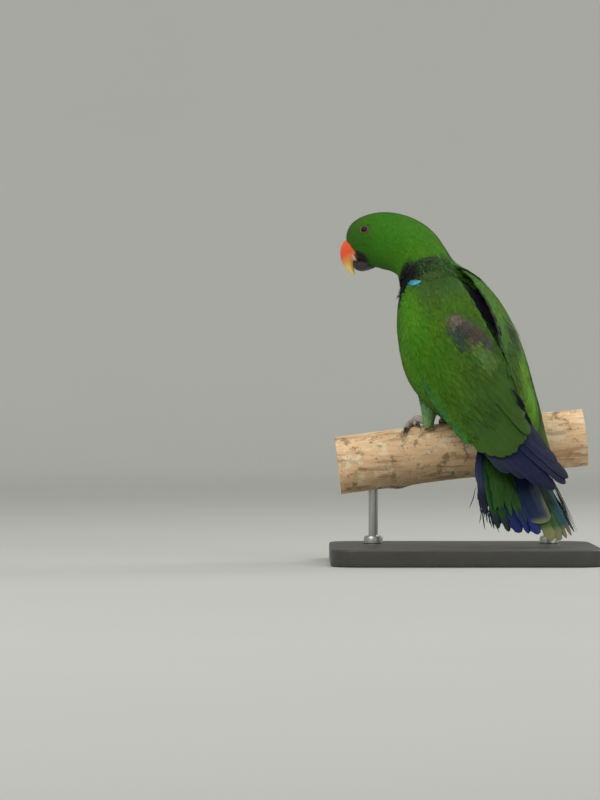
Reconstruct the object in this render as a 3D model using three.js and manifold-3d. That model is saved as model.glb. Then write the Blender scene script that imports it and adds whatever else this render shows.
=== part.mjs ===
// A male eclectus parrot standing on a cut length of branch, life size, on a plain display stand.
// Millimetres, +Z up. X runs along the perch, +Y away from the side the bird is seen from.
// The origin is the centre of the base's underside.
import * as THREE from "three";
import { mergeVertices } from "three/addons/utils/BufferGeometryUtils.js";
import Module from "manifold-3d";

const wasm = await Module();
wasm.setup();

// Stand and perch
const GAP = 0.3;
const BASE = { width: 250, depth: 220, height: 16, corner: 26, bevel: 2 };
const PERCH = { radius: 27.8, length: 236, height: 105, y: 48, slope: 6.5, bend: 1.0 };
const ROD = { radius: 4.5, spacing: 168, collar: 9, collarHeight: 7 };

// The trunk is straight from the neck's root to the tail.
// Its heading turns left from +Y, its pitch is above level.
const TRUNK = { neckRoot: [-32.3, 51, 275.8], heading: 36, pitch: 54 };
const HEAD_HEADING = 64;
const EYE = { place: 29, angle: 66, radius: 4.4, sunk: 2.2, lid: 1.0 };

const rad = THREE.MathUtils.degToRad;
const vec = (x, y, z) => new THREE.Vector3(x, y, z);
const lerp = THREE.MathUtils.lerp;

// Directions of the trunk: to the tail, to the bird's left, and out of its back
const h = vec(-Math.sin(rad(TRUNK.heading)), Math.cos(rad(TRUNK.heading)), 0);
const TO_TAIL = h.clone()
  .multiplyScalar(-Math.cos(rad(TRUNK.pitch)))
  .add(vec(0, 0, -Math.sin(rad(TRUNK.pitch))));
const TO_LEFT = vec(-Math.cos(rad(TRUNK.heading)), -Math.sin(rad(TRUNK.heading)), 0);
const TO_BACK = TO_LEFT.clone().cross(TO_TAIL);

// A point of the trunk's own frame: along it from the neck's root, to the left, and out of the back
function trunkPoint(along, left, back) {
  return vec(...TRUNK.neckRoot)
    .addScaledVector(TO_TAIL, along)
    .addScaledVector(TO_LEFT, left)
    .addScaledVector(TO_BACK, back);
}

// A smooth value through knots [x, y], with slopes taken from the neighbours
function smooth(knots, x) {
  const n = knots.length;
  if (x <= knots[0][0]) return knots[0][1];
  if (x >= knots[n - 1][0]) return knots[n - 1][1];
  let i = 0;
  while (x > knots[i + 1][0]) i++;
  const slope = (k) => {
    const a = knots[Math.max(0, k - 1)];
    const b = knots[Math.min(n - 1, k + 1)];
    return (b[1] - a[1]) / (b[0] - a[0]);
  };
  const [x0, y0] = knots[i];
  const [x1, y1] = knots[i + 1];
  const d = x1 - x0;
  const t = (x - x0) / d;
  const t2 = t * t;
  const t3 = t2 * t;
  return (2 * t3 - 3 * t2 + 1) * y0 + (t3 - 2 * t2 + t) * d * slope(i)
    + (3 * t2 - 2 * t3) * y1 + (t3 - t2) * d * slope(i + 1);
}

// Column c of a table of stations, as knots for smooth()
const column = (table, c) => table.map((row) => [row[0], row[c]]);

// A surface from points and the triangles between them
function surface(points, faces) {
  const places = points.flatMap((p) => [p.x, p.y, p.z]);
  const geometry = new THREE.BufferGeometry();
  geometry.setAttribute("position", new THREE.Float32BufferAttribute(places, 3));
  geometry.setIndex(faces);
  return geometry;
}

// A closed surface through rings of equal count; a first or last ring of one point closes it in a tip
function loft(rings) {
  const points = rings.flat();
  const starts = [];
  let count = 0;
  for (const ring of rings) {
    starts.push(count);
    count += ring.length;
  }
  const faces = [];
  for (let i = 0; i + 1 < rings.length; i++) {
    const n = Math.max(rings[i].length, rings[i + 1].length);
    for (let j = 0; j < n; j++) {
      const k = (j + 1) % n;
      const a = starts[i] + (rings[i].length > 1 ? j : 0);
      const b = starts[i] + (rings[i].length > 1 ? k : 0);
      const c = starts[i + 1] + (rings[i + 1].length > 1 ? j : 0);
      const d = starts[i + 1] + (rings[i + 1].length > 1 ? k : 0);
      if (a !== b) faces.push(a, b, c);
      if (c !== d) faces.push(b, d, c);
    }
  }
  // End faces run as a ladder between the ring's two halves, so a curved sliver closes too
  const cap = (ring, start, flip) => {
    for (let low = 0, high = ring.length - 1; low + 1 < high; low++, high--) {
      for (const [a, b, c] of [[low, low + 1, high], [low + 1, high - 1, high]]) {
        if (a !== b) faces.push(start + a, start + (flip ? c : b), start + (flip ? b : c));
      }
    }
  };
  cap(rings[0], 0, true);
  cap(rings.at(-1), starts.at(-1), false);
  return surface(points, faces);
}

// three.js geometry to a solid for joining and cutting, turned the right way out
function solid(geometry) {
  const bare = geometry.clone();
  for (const name of ["normal", "uv"]) bare.deleteAttribute(name);
  const merged = mergeVertices(bare, 1e-3);
  const triVerts = new Uint32Array(merged.index.array);
  const mesh = () => new wasm.Mesh({ numProp: 3, vertProperties: merged.attributes.position.array, triVerts });
  let made = new wasm.Manifold(mesh());
  if (made.volume() < 0) {
    for (let i = 0; i < triVerts.length; i += 3) {
      [triVerts[i], triVerts[i + 1]] = [triVerts[i + 1], triVerts[i]];
    }
    made = new wasm.Manifold(mesh());
  }
  return made;
}

function geometryOf(made) {
  const mesh = made.getMesh();
  const geometry = new THREE.BufferGeometry();
  geometry.setAttribute("position", new THREE.BufferAttribute(new Float32Array(mesh.vertProperties), 3));
  geometry.setIndex(new THREE.BufferAttribute(new Uint32Array(mesh.triVerts), 1));
  return geometry;
}

const joined = (solids) => wasm.Manifold.union(solids);

// The largest closed surface of a solid, without loose scraps or sealed hollows
function largest(made) {
  const bodies = made.decompose().filter((b) => b.volume() > 0);
  return bodies.reduce((best, b) => (b.volume() > best.volume() ? b : best));
}

// Body: stations from the face to the rump. Each row: place along the line, x, y, z of its middle,
// reach to the crown or back, to the throat or belly, to each side, and the heading of the side.
const along = (d) => trunkPoint(d, 0, 0).toArray();
const BODY = [
  [0, -106.8, 95.4, 299.2, 2.5, 1.5, 2, 64],
  [2.5, -105.0, 94.6, 299.6, 11.5, 6, 6.5, 64],
  [7, -100.9, 93.0, 300.8, 18.0, 11, 10.5, 64],
  [14, -95.0, 90.3, 302.3, 23.0, 17, 15.8, 64],
  [22, -88.6, 87.3, 303.2, 25.8, 22.5, 20, 63],
  [38, -73.4, 80.2, 304.6, 27.6, 26.6, 23.8, 60],
  [56, -57.4, 70.6, 301.4, 27.4, 27.4, 24.8, 54],
  [73, -44.2, 61.5, 293.6, 26.4, 27.4, 25.4, 46],
  [88, -36.0, 54.5, 283.2, 24, 27.4, 26.8, 40],
  [107, ...along(12), 25, 33.5, 30, 36],
  [120, ...along(25), 29.5, 46, 36.5, 36],
  [145, ...along(50), 35.5, 59, 44.5, 36],
  [180, ...along(85), 39, 69, 48, 36],
  [215, ...along(120), 38, 60, 46.5, 36],
  [250, ...along(155), 33, 43, 38, 36],
  [280, ...along(185), 24, 26, 27, 36],
  [300, ...along(205), 15, 14, 18.5, 36],
  [316, ...along(221), 7, 7, 10, 36],
  [320, ...along(225), 1.5, 1.5, 2, 36],
];
const NECK_START = 60;
const NECK_END = 108;
const RUMP_END = 296;

// The body's section frame at a place along it
function bodyFrame(s) {
  const at = (k) => vec(smooth(column(BODY, 1), k), smooth(column(BODY, 2), k), smooth(column(BODY, 3), k));
  const centre = at(s);
  const tangent = at(Math.min(s + 1, 320)).sub(at(Math.max(s - 1, 0))).normalize();
  const turn = rad(smooth(column(BODY, 7), s));
  const left = vec(-Math.cos(turn), -Math.sin(turn), 0);
  const back = left.clone().cross(tangent).normalize();
  return { centre, tangent, back, left: tangent.clone().cross(back) };
}

// A point of the body's surface: place along it, angle from the back round by the left, and how far out
function bodyPoint(s, angle, out = 0) {
  const f = bodyFrame(s);
  const c = Math.cos(angle);
  const reach = smooth(column(BODY, c > 0 ? 4 : 5), s) + out;
  const side = smooth(column(BODY, 6), s) + out;
  return f.centre
    .addScaledVector(f.back, reach * c)
    .addScaledVector(f.left, side * Math.sin(angle));
}

const BODY_RINGS = [0, 2.5, 7, 14, 22, 30, 38, 47, 56, 65, 73, 81, 88, 97, 107, 120, 132, 145, 162, 180, 198,
  215, 232, 250, 265, 280, 290, 300, 309, 316, 320];
const BODY_SIDES = 28;

function bodyLoft(out) {
  return loft(BODY_RINGS.map((s) => {
    const ring = [];
    for (let j = 0; j < BODY_SIDES; j++) ring.push(bodyPoint(s, (2 * Math.PI * j) / BODY_SIDES, out));
    return ring;
  }));
}

// A slab across the body, from one distance past a place along it to another, for parting it
const SLAB_WIDTH = 240;
function slab(s, from, to) {
  const f = bodyFrame(s);
  const box = new THREE.BoxGeometry(SLAB_WIDTH, SLAB_WIDTH, to - from);
  const middle = f.centre.clone().addScaledVector(f.tangent, (from + to) / 2);
  box.applyMatrix4(new THREE.Matrix4().lookAt(vec(0, 0, 0), f.tangent, f.back).setPosition(middle));
  return solid(box);
}

// Wing: a bent sheet that the flight feathers and coverts lie on. Each row: place along the wing from its
// bend, along the trunk, to the left, out of the back, its face's turn from the back, half width, curve radius.
const WING = [
  [0, 4, 31, 7, 68, 8, 30],
  [8, 10, 34, 10.5, 68, 18, 34],
  [24, 25, 39.5, 16, 67, 32, 43],
  [50, 50, 44.5, 21.5, 65, 41, 50],
  [85, 85, 48.5, 25.5, 62, 46, 55],
  [120, 120, 46.5, 27.5, 59, 45, 56],
  [156, 155, 39.5, 29.5, 51, 41, 57],
  [188, 185, 29, 30, 40, 36, 62],
  [222, 215, 12, 26.5, 26, 30, 72],
  [254, 240, -8, 22, 14, 24, 85],
  [283, 262, -26, 18, 8, 18, 100],
  [300, 275, -36, 16, 5, 14, 110],
];
// The right wing lies a little lower, with its tip under the left one. Shifts: [along, left, out of the back].
const WING_SIDES = {
  left: { sign: 1, whole: [0, 0, 0], front: [0, 0, 0], tip: [0, 0, 0] },
  right: { sign: -1, whole: [0, -2, -1.5], front: [7, -3, -5], tip: [-8, 24, -13] },
};
// The core under the wing's feathers, along the wing: the height of its top over the sheet, and its thickness
const CORE_TOP = [[0, 0], [6, -0.8], [16, -2.6], [30, -3.2], [104, -3.2], [130, -6], [162, -8]];
const CORE_THICK = [[0, 9], [20, 10], [60, 11], [104, 11], [130, 7.5], [150, 4], [162, 2]];

// A point of a wing's sheet: place along it, across it towards the leading edge, and height above it
function wingPoint(side, a, b, height) {
  const w = WING_SIDES[side];
  const centre = (k) => {
    const early = 1 - THREE.MathUtils.smoothstep(k, 0, 70);
    const late = THREE.MathUtils.smoothstep(k, 150, 250);
    const [along, left, back] = [0, 1, 2].map((i) =>
      smooth(column(WING, i + 1), k) + w.whole[i] + w.front[i] * early + w.tip[i] * late);
    return trunkPoint(along, w.sign * left, back);
  };
  const turn = rad(smooth(column(WING, 4), a));
  const tangent = centre(a + 1).sub(centre(a - 1)).normalize();
  const face = TO_BACK.clone().multiplyScalar(Math.cos(turn)).addScaledVector(TO_LEFT, w.sign * Math.sin(turn));
  face.addScaledVector(tangent, -face.dot(tangent)).normalize();
  const across = tangent.clone().cross(face).multiplyScalar(w.sign);
  const bend = smooth(column(WING, 6), a);
  const turned = b / bend;
  return centre(a)
    .addScaledVector(across, (bend + height) * Math.sin(turned))
    .addScaledVector(face, (bend + height) * Math.cos(turned) - bend);
}

// The wing's flesh and down as one lens under the sheet
function wingCore(side) {
  const across = 6;
  const rings = [0, 3, 8, 16, 28, 44, 66, 88, 108, 124, 142, 162].map((a, i) => {
    const taper = i === 0 ? 0.4 : lerp(1, 0.72, THREE.MathUtils.smoothstep(a, 110, 160));
    const half = smooth(column(WING, 5), a) * taper;
    const top = (x) => smooth(CORE_TOP, a) - 1.6 * x ** 4;
    const ring = [];
    for (let j = 0; j <= across; j++) {
      const x = lerp(-1, 1, j / across);
      ring.push([x * half, top(x)]);
    }
    for (let j = across; j >= 0; j--) {
      const x = lerp(-1, 1, j / across);
      ring.push([x * half, top(x) - smooth(CORE_THICK, a) * (1 - 0.6 * x * x)]);
    }
    return ring.map(([b, up]) => wingPoint(side, a, b, up));
  });
  return solid(loft(rings));
}

// One feather as a thin closed plate laid on a sheet by point(a, b, height), from its root to its tip.
// tilt lifts its +b side over the next feather, and lift gives its height for a place along the sheet.
const VANE_SHAPES = {
  broad: [[0, 0.5], [0.2, 0.8], [0.5, 1], [0.78, 0.96], [0.92, 0.68], [1, 0.3]],
  fan: [[0, 0.35], [0.5, 0.72], [0.8, 1], [0.93, 0.84], [1, 0.4]],
};
const VANE_STEPS = { long: [0, 0.3, 0.6, 0.84, 1], short: [0, 0.4, 0.8, 1] };
const VANE_THICK = 0.6;
function vane(point, { root, tip, width, tilt = 0, lift, steps = "long", shape = "broad", grow = 0 }) {
  const run = [tip[0] - root[0], tip[1] - root[1]];
  const length = Math.hypot(...run);
  const [da, db] = [run[0] / length, run[1] / length];
  const corners = [];
  for (const t of VANE_STEPS[steps]) {
    const half = (width / 2) * smooth(VANE_SHAPES[shape], t) + grow;
    for (const up of [-grow, VANE_THICK + grow]) {
      for (const x of [-half, 0, half]) {
        const a = root[0] + run[0] * t - db * x;
        corners.push(point(a, root[1] + run[1] * t + da * x, lift(a) + Math.tan(rad(tilt)) * x + up));
      }
    }
  }
  return solid(plate(corners, 3));
}

// A closed plate through cross-sections of `wide` corners below and as many above, split alike on both faces
function plate(corners, wide) {
  const size = 2 * wide;
  const count = corners.length / size;
  const faces = [];
  const quad = (a, b, c, d) => faces.push(a, b, c, b, d, c);
  for (let i = 0; i + 1 < count; i++) {
    const here = i * size;
    const next = here + size;
    for (let j = 0; j + 1 < wide; j++) {
      quad(here + j, here + j + 1, next + j, next + j + 1);
      quad(here + wide + j, next + wide + j, here + wide + j + 1, next + wide + j + 1);
    }
    quad(here, next, here + wide, next + wide);
    quad(here + wide - 1, here + size - 1, next + wide - 1, next + size - 1);
  }
  for (let j = 0; j + 1 < wide; j++) {
    const end = (count - 1) * size;
    quad(j, j + wide, j + 1, j + wide + 1);
    quad(end + j, end + j + 1, end + j + wide, end + j + wide + 1);
  }
  return surface(corners, faces);
}

// Rows of feathers on the wing: roots and tips hold the first and last feather's [along, across]
const FEATHER_ROWS = [
  { name: "primaries", count: 6, roots: [[134, 19], [140, -12]], tips: [[276, 10], [268, -36]],
    bow: 12, width: 17, tilt: 9.8, rise: [-9, -5.8] },
  { name: "secondaries", count: 7, roots: [[122, 24], [120, -16]], tips: [[197, 31], [236, -7]],
    bow: 6, width: 20, tilt: 10, rise: [-5.8, -0.9] },
  { name: "tertials", count: 3, roots: [[104, -14], [96, -30]], tips: [[224, -16], [186, -32]],
    bow: 2, width: 20, tilt: 9, rise: [-4.6, 1.6] },
  { name: "primary coverts", count: 3, roots: [[80, 40], [84, 26]], tips: [[148, 41], [154, 27]],
    bow: 1, width: 13, tilt: 9, rise: [-5.8, -0.2], steps: "short" },
  { name: "greater coverts", count: 7, roots: [[80, 28], [84, -30]], tips: [[138, 29], [144, -33]],
    bow: 6, width: 17, tilt: 7, rise: [-4.2, 1.2], steps: "short" },
  { name: "median coverts", count: 8, roots: [[48, 35], [52, -33]], tips: [[92, 38], [96, -36]],
    bow: 5, width: 17, tilt: 7, rise: [-4.2, 1], steps: "short" },
  { name: "lesser coverts", count: 6, roots: [[14, 22], [18, -22]], tips: [[56, 33], [60, -31]],
    bow: 4, width: 18, tilt: 7, rise: [-4, 0.8], steps: "short" },
];

function featherRow(side, row, grow = 0) {
  const vanes = [];
  const first = row.roots[0][0];
  const last = Math.max(row.tips[0][0], row.tips[1][0]);
  const lift = (a) => lerp(row.rise[0], row.rise[1], (a - first) / (last - first));
  for (let i = 0; i < row.count; i++) {
    const k = i / (row.count - 1);
    const between = (ends, c) => lerp(ends[0][c], ends[1][c], k);
    vanes.push(vane((a, b, up) => wingPoint(side, a, b, up), {
      root: [between(row.roots, 0), between(row.roots, 1)],
      tip: [between(row.tips, 0) + row.bow * Math.sin(Math.PI * k), between(row.tips, 1)],
      width: row.width,
      tilt: row.tilt,
      lift,
      steps: row.steps,
      grow,
    }));
  }
  return vanes;
}

function wing(side, clear) {
  const vanes = FEATHER_ROWS.flatMap((row) => featherRow(side, row));
  return largest(joined([wingCore(side), ...vanes]).subtract(clear));
}

// Tail: a fan on a sheet that drops a little more steeply than the trunk
const TAIL = {
  root: 186, back: 4, drop: 9.7, turn: -3, arch: 140,
  feathers: 12, length: 112, spread: 29, width: 17.5, shorter: { left: 20, right: 3 },
};
function tailPoint(down, across, height) {
  const turn = rad(TAIL.turn);
  const a = down * Math.cos(turn) - across * Math.sin(turn);
  const b = down * Math.sin(turn) + across * Math.cos(turn);
  const drop = rad(TAIL.drop);
  const bend = TAIL.arch;
  const up = (bend + height) * Math.cos(b / bend) - bend;
  const out = (bend + height) * Math.sin(b / bend);
  return trunkPoint(
    TAIL.root + a * Math.cos(drop) + up * Math.sin(drop),
    out,
    TAIL.back - a * Math.sin(drop) + up * Math.cos(drop),
  );
}

function tailFeathers() {
  const vanes = [];
  for (let i = 0; i < TAIL.feathers; i++) {
    const k = (i - (TAIL.feathers - 1) / 2) / ((TAIL.feathers - 1) / 2);
    const turn = rad(TAIL.spread * k);
    const length = TAIL.length - TAIL.shorter[k > 0 ? "left" : "right"] * k * k;
    const below = Math.floor(Math.abs(i - (TAIL.feathers - 1) / 2)) + (k < 0 ? 1 : 0);
    vanes.push(vane(tailPoint, {
      root: [24 * Math.cos(turn), 24 * Math.sin(turn) + 6 * k],
      tip: [length * Math.cos(turn * 0.9), length * Math.sin(turn * 0.9) + 6 * k],
      width: TAIL.width, shape: "fan", tilt: 5 * k, lift: (a) => -lerp(0.95, 0.6, a / TAIL.length) * below,
    }));
  }
  return vanes;
}

const TAIL_COVERTS = [
  { count: 6, spread: 18, from: 8, length: 62, width: 15, rise: [1.2, 2.2], step: -0.95 },
  { count: 6, spread: 16, from: 8, length: 68, width: 15.5, rise: [-10, -8.6], step: 0.8 },
];
function tailCoverts() {
  return TAIL_COVERTS.flatMap((row) => {
    const vanes = [];
    for (let i = 0; i < row.count; i++) {
      const k = (i - (row.count - 1) / 2) / ((row.count - 1) / 2);
      const turn = rad(row.spread * k);
      const length = row.length - 10 * k * k;
      const beside = Math.floor(Math.abs(i - (row.count - 1) / 2)) + (k < 0 ? 1 : 0);
      vanes.push(vane(tailPoint, {
        root: [row.from, 7 * k],
        tip: [length * Math.cos(turn), length * Math.sin(turn) + 6 * k],
        width: row.width, steps: "short", shape: "fan",
        lift: (a) => lerp(row.rise[0], row.rise[1], a / row.length) + row.step * beside,
      }));
    }
    return vanes;
  });
}

// The flesh that holds the tail, a stump round its roots: place down it, half width, reach up, reach down
const TAIL_CORE = [
  [0, 18, 4.5, 13],
  [14, 18.5, 4, 12],
  [28, 19, 2.4, 9.5],
  [42, 20, 0.8, 7.2],
  [55, 19.5, -0.6, 4.6],
];
function tailCore() {
  const rings = TAIL_CORE.map(([a, half, top, bottom]) => {
    const ring = [];
    for (let j = 0; j < 12; j++) {
      const turn = (2 * Math.PI * j) / 12;
      const up = (top - bottom) / 2 + ((top + bottom) / 2) * Math.sin(turn);
      ring.push(tailPoint(a, half * Math.sign(Math.cos(turn)) * Math.abs(Math.cos(turn)) ** 0.7, up));
    }
    return ring;
  });
  return solid(loft(rings));
}

// Bill: each mandible is a row of sections [forward, up, half height, half width, turn], in the head's frame
const HEAD_FRAME = { origin: [-98, 91.5, 300], heading: HEAD_HEADING, pitch: -6 };
function headPoint(forward, left, up) {
  const turn = rad(HEAD_FRAME.heading);
  const nod = rad(HEAD_FRAME.pitch);
  const ahead = vec(-Math.sin(turn) * Math.cos(nod), Math.cos(turn) * Math.cos(nod), Math.sin(nod));
  const aside = vec(-Math.cos(turn), -Math.sin(turn), 0);
  const above = ahead.clone().cross(aside);
  return vec(...HEAD_FRAME.origin)
    .addScaledVector(ahead, forward)
    .addScaledVector(aside, left)
    .addScaledVector(above, up);
}
const UPPER_BILL = [
  [-10, -3, 11, 10.2, 90],
  [-3, -2.6, 11.9, 10.8, 84],
  [3, -2.6, 12.6, 10.4, 70],
  [7.8, -5.8, 11.8, 9.0, 48],
  [10.4, -11.2, 8.6, 7.1, 24],
  [10.4, -17, 5.4, 5.0, 6],
  [8.6, -22, 3.3, 3.1, -12],
  [6.0, -26.5, 1.0, 1.1, -24],
];
const LOWER_BILL = [
  [-14, -16.5, 6.5, 9.4, 90],
  [-8, -17.6, 6.8, 9.0, 96],
  [-3, -18.4, 6.2, 7.8, 108],
  [0.8, -17.4, 4.8, 6.4, 124],
  [3.6, -14.6, 1.5, 4.8, 138],
];
// A mandible swept through its sections; each section turns by its last value from level
function mandible(sections, grow) {
  return solid(loft(sections.map(([ahead, up, tall, wide, turn], i) => {
    const forward = i === 0 ? ahead - grow : ahead;
    const ring = [];
    const c = Math.cos(rad(turn));
    const s = Math.sin(rad(turn));
    for (let j = 0; j < 14; j++) {
      const angle = (2 * Math.PI * j) / 14;
      const v = (tall + grow) * Math.cos(angle);
      const w = (wide + grow) * Math.sin(angle) * (1 - 0.18 * Math.cos(angle));
      ring.push(headPoint(forward + v * c, w, up + v * s));
    }
    return ring;
  })));
}

function ball(centre, radius, wide = 14, high = 10) {
  const g = new THREE.SphereGeometry(radius, wide, high);
  g.translate(centre.x, centre.y, centre.z);
  return solid(g);
}

// Legs. A foot grips the perch. Its places are along the perch, round it from the top, and out from it.
const slope = rad(PERCH.slope);
const ALONG_PERCH = vec(Math.cos(slope), 0, Math.sin(slope));
const ABOVE_PERCH = vec(-Math.sin(slope), 0, Math.cos(slope));
function perchRadius(x) {
  return PERCH.radius * (1 + 0.018 * Math.sin(x / 31) - 0.012 * Math.cos(x / 17));
}
function perchCentre(x) {
  return vec(0, PERCH.y, PERCH.height).addScaledVector(ALONG_PERCH, x)
    .addScaledVector(ABOVE_PERCH, PERCH.bend * Math.cos(x / 45) - PERCH.bend);
}
function perchPoint(x, angle, radius) {
  return perchCentre(x)
    .addScaledVector(ABOVE_PERCH, radius * Math.cos(angle))
    .add(vec(0, radius * Math.sin(angle), 0));
}
function perchLoft(grow, length) {
  const rings = [];
  const steps = 8;
  for (let i = 0; i <= steps; i++) {
    const x = lerp(-length / 2, length / 2, i / steps);
    const ring = [];
    for (let j = 0; j < 24; j++) ring.push(perchPoint(x, (2 * Math.PI * j) / 24, perchRadius(x) + grow));
    rings.push(ring);
  }
  return solid(loft(rings));
}

// A round tube through points with a radius at each
function tube(points, radii, sides = 8) {
  const curve = new THREE.CatmullRomCurve3(points);
  let side = vec(1, 0, 0);
  const rings = points.map((p, i) => {
    const tangent = curve.getTangent(i / (points.length - 1));
    side = side.clone().addScaledVector(tangent, -side.dot(tangent)).normalize();
    const up = tangent.clone().cross(side);
    const ring = [];
    for (let j = 0; j < sides; j++) {
      const angle = (2 * Math.PI * j) / sides;
      ring.push(p.clone()
        .addScaledVector(side, radii[i] * Math.cos(angle))
        .addScaledVector(up, radii[i] * Math.sin(angle)));
    }
    return ring;
  });
  return solid(loft(rings));
}

const FEET = { left: { x: -43, heel: [-31.5, 31, 131.5], knee: [-28, 34, 172] },
  right: { x: -12, heel: [-2, 32, 134.5], knee: [6, 38, 174] } };
const FOOT_TURN = 20;
// Toes 2 and 3 reach forward, 1 and 4 back: splay along the perch for each millimetre, length, and thickness
const TOES = [
  { name: "2", way: 1, splay: 0.42, length: 21, thick: 2.9 },
  { name: "3", way: 1, splay: -0.28, length: 28, thick: 3.2 },
  { name: "1", way: -1, splay: 0.25, length: 15, thick: 2.8 },
  { name: "4", way: -1, splay: -0.30, length: 20, thick: 3.0 },
];
const CLAW_LENGTH = 10;
const CLAW_RADIUS = 1.9;

function toePath(side, toe, from, to, steps, out) {
  const mirror = side === "left" ? 1 : -1;
  const points = [];
  for (let i = 0; i <= steps; i++) {
    const d = lerp(from, to, i / steps);
    const x = FEET[side].x + mirror * toe.splay * d;
    const radius = perchRadius(x) + out(i / steps);
    points.push(perchPoint(x, rad(FOOT_TURN) + (toe.way * d) / PERCH.radius, radius));
  }
  return points;
}

// The bare shank, from the toes' root back to the heel
function shank(side, grow) {
  const place = FEET[side];
  const root = perchPoint(place.x, rad(FOOT_TURN), PERCH.radius + 3.6);
  const middle = perchPoint(place.x + 5, rad(-2), PERCH.radius + 6);
  const heel = vec(...place.heel);
  const past = heel.clone().addScaledVector(heel.clone().sub(middle).normalize(), grow + 0.01);
  return tube([root, middle, past], [4.4, 3.6, 3.9].map((r) => r + grow), 8);
}

function foot(side, perchClear) {
  const place = FEET[side];
  const palm = ball(perchPoint(place.x, rad(FOOT_TURN), perchRadius(place.x) + 3.2), 5.2, 8, 6);
  const toes = TOES.map((toe) => {
    const swell = (t) => toe.thick * (1 - 0.22 * t) * (1 + 0.10 * Math.cos(6 * Math.PI * t));
    const path = toePath(side, toe, 0, toe.length, 5, (t) => swell(t) * 0.9 + GAP);
    return tube(path, path.map((_, i) => swell(i / 5)), 6);
  });
  return largest(joined([palm, shank(side, 0), ...toes]).subtract(perchClear));
}

function claw(side, toe, footSolid, perchClear) {
  const path = toePath(side, toe, toe.length + 0.4, toe.length + CLAW_LENGTH, 4,
    (t) => CLAW_RADIUS * (1 + 1.1 * Math.sin(Math.PI * t * 0.8)) * 0.9 + 0.5);
  const radii = path.map((_, i) => CLAW_RADIUS * (1 - 0.86 * (i / 4) ** 1.3));
  return largest(tube(path, radii, 6).subtract(footSolid).subtract(perchClear));
}

// The feathered shank, from the belly down to the heel
function thigh(side, clear) {
  const place = FEET[side];
  const heel = vec(...place.heel);
  const knee = vec(...place.knee);
  const points = [heel.clone().lerp(knee, -0.02), heel.clone().lerp(knee, 0.22), heel.clone().lerp(knee, 0.5),
    heel.clone().lerp(knee, 0.8), knee];
  return largest(tube(points, [5.2, 7.2, 10.5, 14, 15], 12).subtract(clear));
}

// Display stand
function base() {
  const shape = new THREE.Shape();
  const w = BASE.width / 2 - BASE.bevel;
  const d = BASE.depth / 2 - BASE.bevel;
  const r = BASE.corner;
  shape.moveTo(-w + r, -d).lineTo(w - r, -d).absarc(w - r, -d + r, r, -Math.PI / 2, 0);
  shape.lineTo(w, d - r).absarc(w - r, d - r, r, 0, Math.PI / 2);
  shape.lineTo(-w + r, d).absarc(-w + r, d - r, r, Math.PI / 2, Math.PI);
  shape.lineTo(-w, -d + r).absarc(-w + r, -d + r, r, Math.PI, 1.5 * Math.PI);
  const slab = new THREE.ExtrudeGeometry(shape, {
    depth: BASE.height - 2 * BASE.bevel, bevelThickness: BASE.bevel, bevelSize: BASE.bevel, bevelSegments: 1,
    curveSegments: 6,
  });
  slab.translate(0, 0, BASE.bevel);
  return solid(slab);
}

function rod(x, perchClear) {
  const top = PERCH.height + PERCH.radius / 2;
  const profile = [[0, 0], [ROD.collar, 0], [ROD.collar, ROD.collarHeight - 2],
    [ROD.collar - 2, ROD.collarHeight], [ROD.radius, ROD.collarHeight], [ROD.radius, top], [0, top]]
    .map(([r, z]) => new THREE.Vector2(r, z));
  const post = new THREE.LatheGeometry(profile, 16);
  post.rotateX(Math.PI / 2);
  const at = perchCentre(x);
  post.translate(at.x, at.y, BASE.height + GAP);
  const cut = solid(post).subtract(perchClear);
  return cut.decompose().reduce((low, b) => (b.boundingBox().min[2] < low.boundingBox().min[2] ? b : low));
}

// The finishes
const FINISH = {
  green: [0x2f7a1c, 0.75, 0],
  bill: [0xe0632c, 0.35, 0],
  black: [0x24242a, 0.4, 0],
  eye: [0x2a1206, 0.1, 0],
  skin: [0x77757a, 0.8, 0],
  wood: [0xb79566, 0.8, 0],
  stand: [0x2b2a29, 0.5, 0],
  steel: [0x9a9a98, 0.35, 1],
};
const part = new THREE.Group();
function add(name, made, finish) {
  const [color, roughness, metalness] = FINISH[finish];
  const material = new THREE.MeshStandardMaterial({ color, roughness, metalness });
  const mesh = new THREE.Mesh(geometryOf(made), material);
  mesh.name = name;
  part.add(mesh);
}

// Body, parted with thin cuts
const bodyClear = solid(bodyLoft(GAP + 0.05));
const eyes = { left: 1, right: -1 };
function eyeCentre(sign) {
  return bodyPoint(EYE.place, sign * rad(EYE.angle), -EYE.sunk);
}
const upperBill = mandible(UPPER_BILL, 0);
const lowerBill = mandible(LOWER_BILL, 0).subtract(mandible(UPPER_BILL, GAP));
const billClear = [UPPER_BILL, LOWER_BILL].map((sections) => mandible(sections, GAP + 0.2));
let whole = solid(bodyLoft(0)).subtract(joined(billClear));
for (const sign of Object.values(eyes)) {
  const centre = eyeCentre(sign);
  const lid = new THREE.TorusGeometry(EYE.radius * 1.06, EYE.lid, 5, 14);
  const outward = bodyPoint(EYE.place, sign * rad(EYE.angle), 10).sub(centre).normalize();
  lid.applyMatrix4(new THREE.Matrix4().lookAt(vec(0, 0, 0), outward, vec(0, 0, 1))
    .setPosition(centre.clone().addScaledVector(outward, EYE.radius * 0.5)));
  whole = whole.add(solid(lid)).subtract(ball(centre, EYE.radius + GAP));
}
const cuts = [NECK_START, NECK_END, RUMP_END].map((s) => slab(s, -GAP / 2, GAP / 2));
const pieces = whole.subtract(joined(cuts)).decompose().sort((a, b) => b.volume() - a.volume()).slice(0, 4);
pieces.sort((a, b) => b.boundingBox().max[2] - a.boundingBox().max[2]);
const [head, neck, torso, rumpEnd] = pieces;
add("head", head, "green");
add("neck", neck, "green");
add("torso", torso, "green");
add("bill_upper", upperBill, "bill");
add("bill_lower", largest(lowerBill), "black");
for (const [side, sign] of Object.entries(eyes)) add("eye_" + side, ball(eyeCentre(sign), EYE.radius), "eye");

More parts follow.
